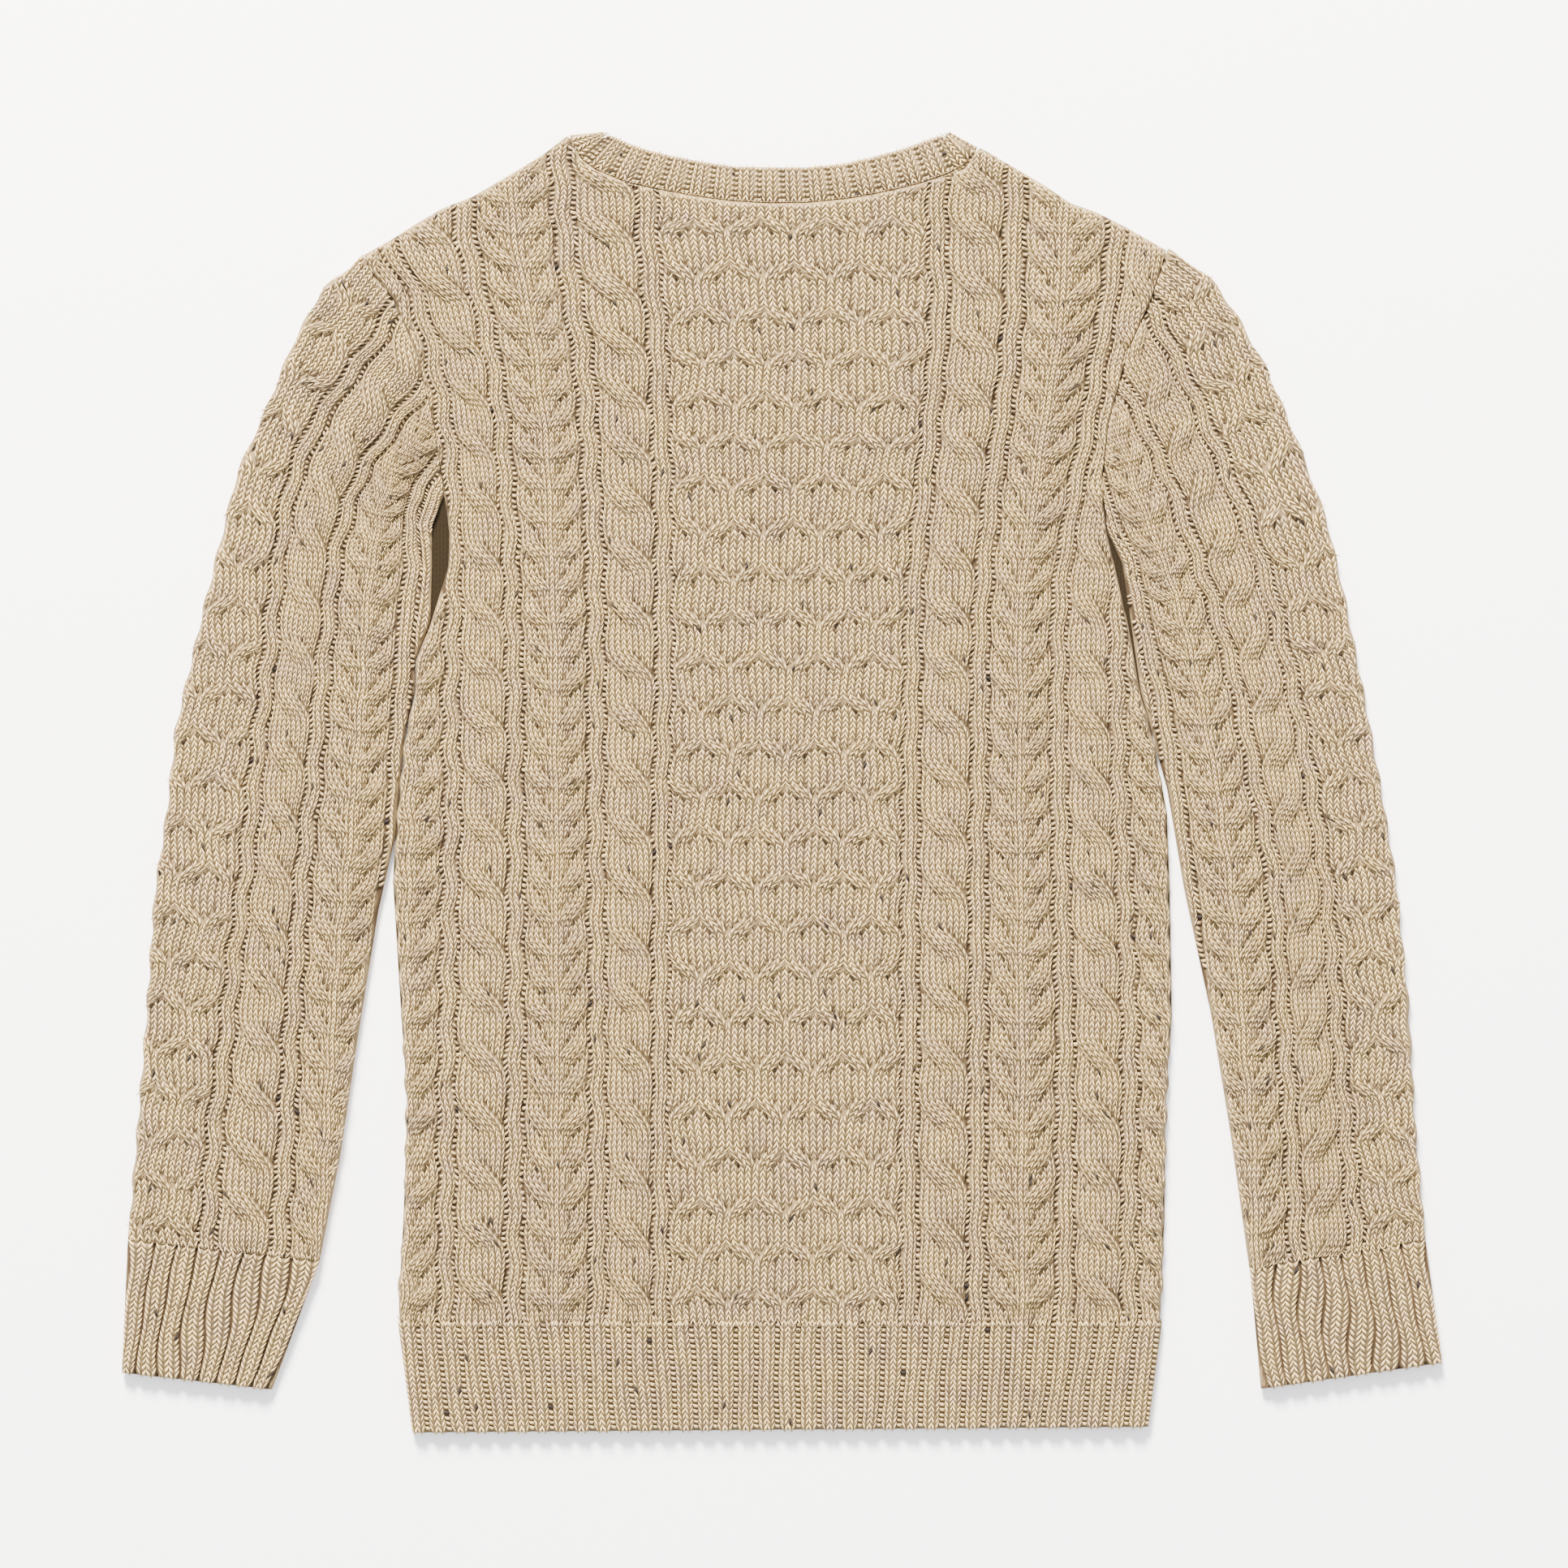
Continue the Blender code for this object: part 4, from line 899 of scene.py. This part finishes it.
def rib_stitches(name, table, seed, material):
    """Two knit wales and a purl gutter, over and over."""
    stitches = Stitches(name, seed, "wool_rib")
    ribs, wide = table["ribs"], table["wale"]
    (ax, ay), _ = table["top"]
    (cx, cy), _ = table["end"]
    count = round(math.hypot(cx - ax, cy - ay) / ROW)
    row = np.arange(-1, count) + 0.5

    def shift(t, r):
        """A corner moved with its rib's scalloped end and its wandering."""
        r = r + 0.35 * smooth((r / count - 0.85) / 0.15) * np.cos(2 * math.pi * (t - wide))
        return t + rib_wave(table, t, r / count), r

    def put(spots, crown, shade):
        """Adds a column of legs; the row under the panel is lower and has painted shade."""
        spots = [shift(t, r) for t, r in spots]
        corners = [np.column_stack(rib_spot(table, np.clip(t / ribs, 0, 1), r / count)) for t, r in spots]
        share = sum(t for t, _ in spots) / 4 / ribs
        z = surface(crown, rib_roll(table, share, row / count)) - 0.8 * (row < 0)
        stitches.add(corners, z - STITCH_SUNK, CROWN, np.where(row < 0, 0.45, shade))

    for rib in range(ribs):
        for wale in (0.5, 1.5):
            for side in (-1, 1):
                put([(rib + (wale + side * x) * wide + 0 * row, row + r * 0.98) for x, r in LEG], RIDGE, 0.0)
        gap = 1 - 2 * wide
        if gap > 0.2:
            middle = rib + 1 - gap / 2
            # The purl loops in the gutter carry a little painted shade.
            put([(middle + x * gap / 3.4 + 0 * row, row + r + x * 0.09) for x, r in LOOP], 0.3, 0.15)
    return stitches.build(material)


# Neckband.
def neck_sections(table, count):
    """Sections spaced evenly along an arc of the band: neck edge and seam."""
    edge = np.column_stack([table["edge_x"], table["edge_y"]])
    seam = np.column_stack([table["seam_x"], table["seam_y"]])
    run = np.concatenate([[0], np.cumsum(np.linalg.norm(np.diff((edge + seam) / 2, axis=0), axis=1))])
    step = np.linspace(0, run[-1], count)
    return [np.column_stack([np.interp(step, run, line[:, k]) for k in (0, 1)]) for line in (edge, seam)]


def neck_sheet(material):
    """A folded ring: back arc on top, front arc under the back, turned over at both shoulders."""
    edge, seam = neck_sections(NECK_BACK, NECK_RIBS * 8 + 1)
    way = (edge - seam) / np.linalg.norm(edge - seam, axis=1)[:, None]
    seam = seam + way * 0.35
    share = np.linspace(0, 1, len(edge))
    phase = share * NECK_RIBS % 1
    up = NECK_RIDGE * smooth((0.40 - np.abs(phase - 0.46)) / 0.10)
    rings = []

    def ring(e, s, low, high):
        """One section, round at its neck edge."""
        c = e * 0.93 + s * 0.07
        crown = high + 0.2 * (1 if high > low else -1)
        return [(*e, (low + high) / 2), (*c, high), (*((e + s) / 2), crown), (*s, high), (*s, low), (*c, low)]

    cut = 7
    for k in range(cut, len(edge) - cut):
        rings.append(ring(edge[k], seam[k], BACK_IN, BACK_IN + GROUND + up[k] - SUNK))

    def fold(e, s, inside):
        """The turn from the back arc to the front arc at one shoulder."""
        along = (e - s) / np.linalg.norm(e - s)
        normal = np.array([-along[1], along[0]])
        if normal @ (inside - e) > 0:
            normal = -normal
        s = s + along * 0.35
        mid = (FRONT_TOP + BACK_IN) / 2
        found = []
        for angle in (90, 60, 30, 0, -30, -60, -90):
            c, z = math.cos(math.radians(angle)), math.sin(math.radians(angle))
            high, low = mid + z * (2.2 if z > 0 else mid), mid + z * 0.2
            out = normal * (c * mid - mid)
            inner = ring(e + out, s + out, low, high)
            for index in (4, 5):
                inner[index] = (*(np.array(inner[index][:2]) - normal * c * 3.6), low)
            found.append(inner)
        return found

    right = fold(np.array([94.5, -368.7]), np.array([111.1, -359.6]), edge[-6])
    left = fold(np.array([-101.4, -368.7]), np.array([-120.6, -366.8]), edge[5])
    e, s = neck_sections(NECK_FRONT, 60)
    front = [ring(e[k], s[k] + (e[k] - s[k]) * 0.02, FRONT_TOP, 0.0) for k in range(58, 1, -1)]
    rings = rings + right + front + left[::-1]
    points = np.array(rings).reshape(-1, 3) * (1, -1, 1)
    grid = round_again(np.arange(len(points)).reshape(len(rings), 6))
    grid = np.concatenate([grid, grid[:1]], 0)
    piece = mesh_piece("neckband_cloth", points, quads(grid), material)
    outwards(piece)
    mark_underside(piece, FRONT_TOP + 0.1)
    return piece


def neck_stitches(material):
    """Ribs round the back of the neck and the chain where they were picked up."""
    stitches = Stitches("neckband_stitches", 71, "wool_rib")
    fine = 600
    edge, seam = neck_sections(NECK_BACK, fine + 1)
    count = 7

    def spot(share, row):
        """A point of the band: how far round it, and how many rows down from its neck edge."""
        k = np.clip(share, 0, 1) * fine
        e = np.column_stack([np.interp(k, np.arange(fine + 1), edge[:, i]) for i in (0, 1)])
        m = np.column_stack([np.interp(k, np.arange(fine + 1), seam[:, i]) for i in (0, 1)])
        down = np.asarray(row)[:, None] / count
        return e * (1 - down) + m * down

    def put(spots, row, up, shade):
        """Adds a column of legs."""
        corners = [spot(share, r) for share, r in spots]
        end = np.clip((row + 0.3) / count * 20 / 2.5, 0.0, 1.0)
        stitches.add(corners, surface(up, rounded(end)) - STITCH_SUNK, CROWN, shade)

    row = np.arange(count) + 0.5

    def column(place, scale, shape):
        """A leg's or loop's corners, at a place and scale counted in ribs."""
        return [((rib + place + x * scale + 0 * row) / NECK_RIBS, row + r) for x, r in shape]

    for rib in range(NECK_RIBS):
        for wale in (0.22, 0.52):
            for side in (-1, 1):
                put(column(wale, side * 0.30, LEG), row, NECK_RIDGE, 0.0)
        # The purl loops carry painted shade.
        for side in (-0.5, 0.5):
            put(column(0.87 + side * 0.17, 0.05, LOOP), row, 0.1, 0.25)
    # Chain of the pick-up seam, its links with painted shade, every other one darker.
    chain = 125
    links = np.linspace(0.012, 0.985, chain)
    shade = 0.25 + 0.45 * (np.arange(chain) % 2)
    for side in (-1, 1):
        low, high = count + side * 0.08, count + side * 0.42
        spots = ((links, low), (links + 0.007, low), (links + 0.010, high), (links + 0.003, high))
        put([(share, np.full(chain, r)) for share, r in spots], np.full(chain, float(count)), 0.35, shade)
    return stitches.build(material)


# Front panel and its hem: the layer underneath. Its side, from the top down: how far in, how high, how much
# painted shade.
SLAB_SECTION = ((1.0, FRONT_TOP), (0.3, FRONT_TOP - 0.4), (0.0, 2.4), (0.3, 0.6), (1.0, 0.0))
SLAB_SHADE = (1.0, 0.9, 0.2, 0.0, 0.0)


def slab(name, outline, material):
    """A flat layer with a rounded lower edge."""
    points = np.array(outline)
    before, after = np.roll(points, 1, 0), np.roll(points, -1, 0)
    way = after - before
    way /= np.linalg.norm(way, axis=1)[:, None]
    into = np.column_stack([-way[:, 1], way[:, 0]])
    rings = []
    count = len(points)
    for inset, z in SLAB_SECTION:
        spot = points + into * inset
        rings.append(np.column_stack([spot[:, 0], -spot[:, 1], np.full(count, z)]))
    grid = np.arange(5 * count).reshape(5, count)
    faces = quads(round_again(grid)) + [tuple(grid[0]), tuple(grid[-1][::-1])]
    piece = mesh_piece(name, np.vstack(rings), faces, material)
    outwards(piece)
    flatten(piece)
    # Painted shade on the top, fading down the side.
    values(piece, "shade", np.repeat(SLAB_SHADE, count))
    mark_underside(piece, FRONT_TOP + 1)
    return piece


def side_of(name, downs, out=0.0):
    """Points along a side of the back."""
    return [(float(back_column(name, y)) + out, y) for y in downs]


def front_outline():
    """The front panel all round; at the underarms it is wider than the back, as the photo shows."""
    neck = list(zip(NECK_FRONT["seam_x"], NECK_FRONT["seam_y"]))[1:-1]
    armhole = [y for y in BACK["down"] if -300 < y < ARMHOLE_END]
    sides = [y for y in BACK["down"] if -75 < y < HEM_LINE] + [HEM_LINE]
    return [
        *SHOULDER_L[:-1], (-122.3, -361.9),
        *((x, y + 0.7) for x, y in neck),
        (112.2, -356.4), *SHOULDER_R[1:],
        *side_of("edge_r", armhole[1:], 1.3),
        (183.8, -153.4), (194.4, -123.1), (198.3, -99.6), (203.0, -72.0), (206.0, -50.0),
        *side_of("edge_r", [y for y in sides if y > -45]),
        *side_of("edge_l", sides[::-1]),
        (-203.0, -80.0), (-201.4, -88.1), (-200.4, -121.2), (-200.2, -145.1),
        *side_of("edge_l", armhole[:0:-1], -1.3),
    ]


# Materials.
def linear(colour):
    """An sRGB hex colour as linear red, green, blue and alpha."""
    parts = [int(colour[k:k + 2], 16) / 255 for k in (1, 3, 5)]
    return (*[p / 12.92 if p <= 0.04045 else ((p + 0.055) / 1.055) ** 2.4 for p in parts], 1.0)


def node(tree, kind, inputs=None, out=None, **settings):
    """Adds a node and gives its output; each input is another node's output or a value."""
    made = tree.nodes.new(kind)
    for key, value in settings.items():
        setattr(made, key, value)
    for key, value in (inputs or {}).items():
        if isinstance(value, bpy.types.NodeSocket):
            tree.links.new(value, made.inputs[key])
        else:
            made.inputs[key].default_value = value
    return made.outputs[out] if out else next((socket for socket in made.outputs if socket.enabled), None)


def maths(tree, operation, *terms, **settings):
    """A sum or other step on plain values."""
    return node(tree, "ShaderNodeMath", dict(enumerate(terms)), operation=operation, **settings)


def ramp(tree, value, *ends):
    """A value carried from one range to another, 0 to 1 unless it is given."""
    return node(tree, "ShaderNodeMapRange", dict(enumerate((value, *ends))))


def blend(tree, share, one, other):
    """One colour going over to another."""
    return node(tree, "ShaderNodeMix", {"Factor": share, "A": one, "B": other}, data_type="RGBA")


def knit_gap_shade(tree, place):
    """Plain knit for the side that lies on the table: painted shade where one V ends and the next begins."""
    across = node(tree, "ShaderNodeSeparateXYZ", {"Vector": place}, out="X")
    half = maths(tree, "PINGPONG", maths(tree, "DIVIDE", across, WALE * MM), 0.5)
    row = maths(tree, "DIVIDE", across.node.outputs["Y"], ROW * MM)
    leg = maths(tree, "PINGPONG", maths(tree, "MULTIPLY_ADD", half, -1.9, row), 0.5)
    outer = maths(tree, "MAXIMUM", ramp(tree, leg, 0.34, 0.5), ramp(tree, half, 0.40, 0.5))
    return maths(tree, "MAXIMUM", outer, ramp(tree, half, 0.09, 0.0))


def yarn(name, light, tint, shade_colour, depth, shine=0.12, lift=0.0):
    """Yarn darkened towards shade_colour by painted shade: depth is how dark the shade attribute makes it,
    lift how much lighter the underside is.
    """
    material = bpy.data.materials.new(name)
    material.use_nodes = True
    tree = material.node_tree
    tree.nodes.clear()
    place = node(tree, "ShaderNodeTexCoord", out="Object")
    cloudy, fibre = (
        node(tree, "ShaderNodeTexNoise", {"Vector": place, "Scale": 1 / (size * MM), "Detail": 3.0})
        for size in (CLOUD, TUFT))
    tone, shade, fleck, under = (node(tree, "ShaderNodeAttribute", out="Fac", attribute_name=key)
                                 for key in ("tone", "shade", "fleck", "under"))
    heather = blend(tree, ramp(tree, cloudy, 0.42, 0.68), linear(light), linear(tint))
    bright = ramp(tree, maths(tree, "ADD", fibre, tone), 0.55, 1.45, 0.86, 1.10)
    level = maths(tree, "MULTIPLY", bright, maths(tree, "MULTIPLY_ADD", under, lift, 1.0))
    toned = node(tree, "ShaderNodeVectorMath", {0: heather, "Scale": level}, operation="SCALE")
    # Painted shade from the shade attribute, and on the underside between the V's, blended towards the shade
    # colour.
    dark = maths(tree, "MULTIPLY", shade, depth, use_clamp=True)
    gap_shade = maths(tree, "MULTIPLY", knit_gap_shade(tree, place), under)
    open_share = maths(tree, "MULTIPLY", maths(tree, "SUBTRACT", 1.0, dark), 0.7)
    hollows = blend(tree, maths(tree, "MULTIPLY_ADD", gap_shade, open_share, dark), toned, linear(shade_colour))
    colour = blend(tree, ramp(tree, fleck, 0.35, 0.75), hollows, linear(NEP))
    bump = node(tree, "ShaderNodeBump", {"Height": fibre, "Strength": 0.25, "Distance": FUZZ * MM})
    cloth = node(tree, "ShaderNodeBsdfPrincipled", {
        "Base Color": colour,
        "Normal": bump,
        "Roughness": 0.92,
        "Specular IOR Level": shine,
        "Sheen Weight": shine / 6,
        "Sheen Roughness": 0.6,
    })
    node(tree, "ShaderNodeOutputMaterial", {"Surface": cloth})
    return material


# Yarn carded from dyed and undyed wool and cotton, then knitted: matt, heathered with mauve over oatmeal,
# dark neps, a faint fuzz. Sizes of a tinted cloud, of a tuft of fibres and of the fuzz, and the neps' colour.
CLOUD = 14.286
TUFT = 1.923
FUZZ = 0.6
NEP = "#221D1B"
# The stitches on top, with painted shade; the cloth seen between them, painted darker as shade, lighter again
# on its underside; and the side that lies on the table, whose top is painted near black as shade.
KNIT = yarn("heathered wool knit", "#C0A773", "#B79D7A", "#443626", 0.82)
SHADED_CLOTH = yarn("wool knit painted with shade under the stitches", "#7A6748", "#716045", "#382B1C", 1.0, lift=1.8)
UNDER = yarn("wool knit underneath", "#C0A97B", "#B8A083", "#18130D", 0.985, shine=0.0)


def dress(piece, node_name):
    """Hides the part's node that the piece takes the place of, and hangs the piece on the root."""
    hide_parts(node_name)
    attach(piece, "root")


def garment():
    """Every piece of the sweater."""
    back = back_sheet(SHADED_CLOTH)
    dress(back, "back_panel")
    rows = np.arange(-18, 199)
    for word, kind, seed in (("rope", "rope", 11), ("horseshoe", "shoe", 12), ("honeycomb", "cell", 13)):
        stitches = Stitches("back_" + word + "_stitches", seed)
        for band in BANDS:
            if band[0] == kind:
                knit_wales(stitches, band, rows, back_place, back_height)
        stitches.build(KNIT)
    stitches = Stitches("back_twin_rib_stitches", 14)
    for twin in TWINS:
        twin_rib(stitches, twin, rows, back_place, back_height)
    stitches.build(KNIT)

    front = slab("front_panel_cloth", front_outline(), UNDER)
    dress(front, "front_panel")

    for name, spots, left, seed in (
            ("sleeve_left", SLEEVE_L, True, 21),
            ("sleeve_right", SLEEVE_R, False, 22)):
        sheet = sleeve_sheet(name + "_cloth", spots, left, SHADED_CLOTH)
        dress(sheet, name)
        stitches = Stitches(name + "_stitches", seed)
        rows = np.arange(0, int(spots["row"][-1]) + 1)
        place, height = sleeve_place(spots, left), sleeve_height(spots, left)
        for band in SLEEVE_BANDS:
            knit_wales(stitches, band, rows, place, height)
        for twin in SLEEVE_TWINS:
            twin_rib(stitches, twin, rows, place, height)
        legs_piece = stitches.build(KNIT)

    for name, spots, closed, seed, flat in (
            ("back_hem_rib", HEM, False, 31, (0.434, 0.063)),
            ("cuff_left", CUFF_L, True, 32, (0.195, 0.075)),
            ("cuff_right", CUFF_R, True, 33, (0.205, 0.07))):
        sheet = rib_sheet(name + "_cloth", spots, SHADED_CLOTH, closed)
        dress(sheet, name)
        legs_piece = rib_stitches(name + "_stitches", spots, seed, KNIT)

    hem = slab("front_hem_rib_cloth", [*HEM["top"], *HEM["end"][::-1]], UNDER)
    dress(hem, "front_hem_rib")

    collar = neck_sheet(SHADED_CLOTH)
    dress(collar, "neckband")
    legs_piece = neck_stitches(KNIT)


def look_at(piece, target):
    """Turns a lamp or camera towards a point."""
    way = Vector(target) - piece.location
    piece.rotation_euler = way.to_track_quat("-Z", "Y").to_euler()


def lamp(name, spot, size, watts, colour):
    """A square soft lamp that looks at the garment."""
    light = bpy.data.lights.new(name, "AREA")
    light.size = size
    light.energy = watts
    light.color = linear(colour)[:3]
    piece = bpy.data.objects.new(name, light)
    piece.location = spot
    look_at(piece, (0.0, 0.0, 0.0))
    bpy.context.scene.collection.objects.link(piece)


def studio():
    """White sweep with soft light from the upper left of the picture."""
    paper = bpy.data.materials.new("matt white paper sweep")
    paper.use_nodes = True
    shader = paper.node_tree.nodes["Principled BSDF"]
    shader.inputs["Base Color"].default_value = linear("#FEFEFE")
    shader.inputs["Roughness"].default_value = 0.9
    bpy.ops.mesh.primitive_plane_add(size=8.0)
    floor = bpy.context.object
    floor.name = "white_floor"
    floor.data.materials.append(paper)
    lamp("soft_key", (-0.9, 4.25, 2.7), 1.3, 2750.0, "#FFF8EE")
    world = bpy.data.worlds.new("bright white room")
    world.use_nodes = True
    world.node_tree.nodes["Background"].inputs["Color"].default_value = linear("#F6F8FF")
    world.node_tree.nodes["Background"].inputs["Strength"].default_value = 2.3
    bpy.context.scene.world = world


def camera():
    """Straight down over the garment, as the photo looks at it."""
    data = bpy.data.cameras.new("photo_camera")
    data.sensor_width = SENSOR
    data.lens = CAMERA_HIGH * SENSOR / FRAME_WIDE
    data.clip_end = 20.0
    piece = bpy.data.objects.new("photo_camera", data)
    piece.location = (*PICTURE_MIDDLE, CAMERA_HIGH + 0.005)
    bpy.context.scene.collection.objects.link(piece)
    bpy.context.scene.camera = piece


garment()
studio()
camera()

bpy.context.view_layer.update()
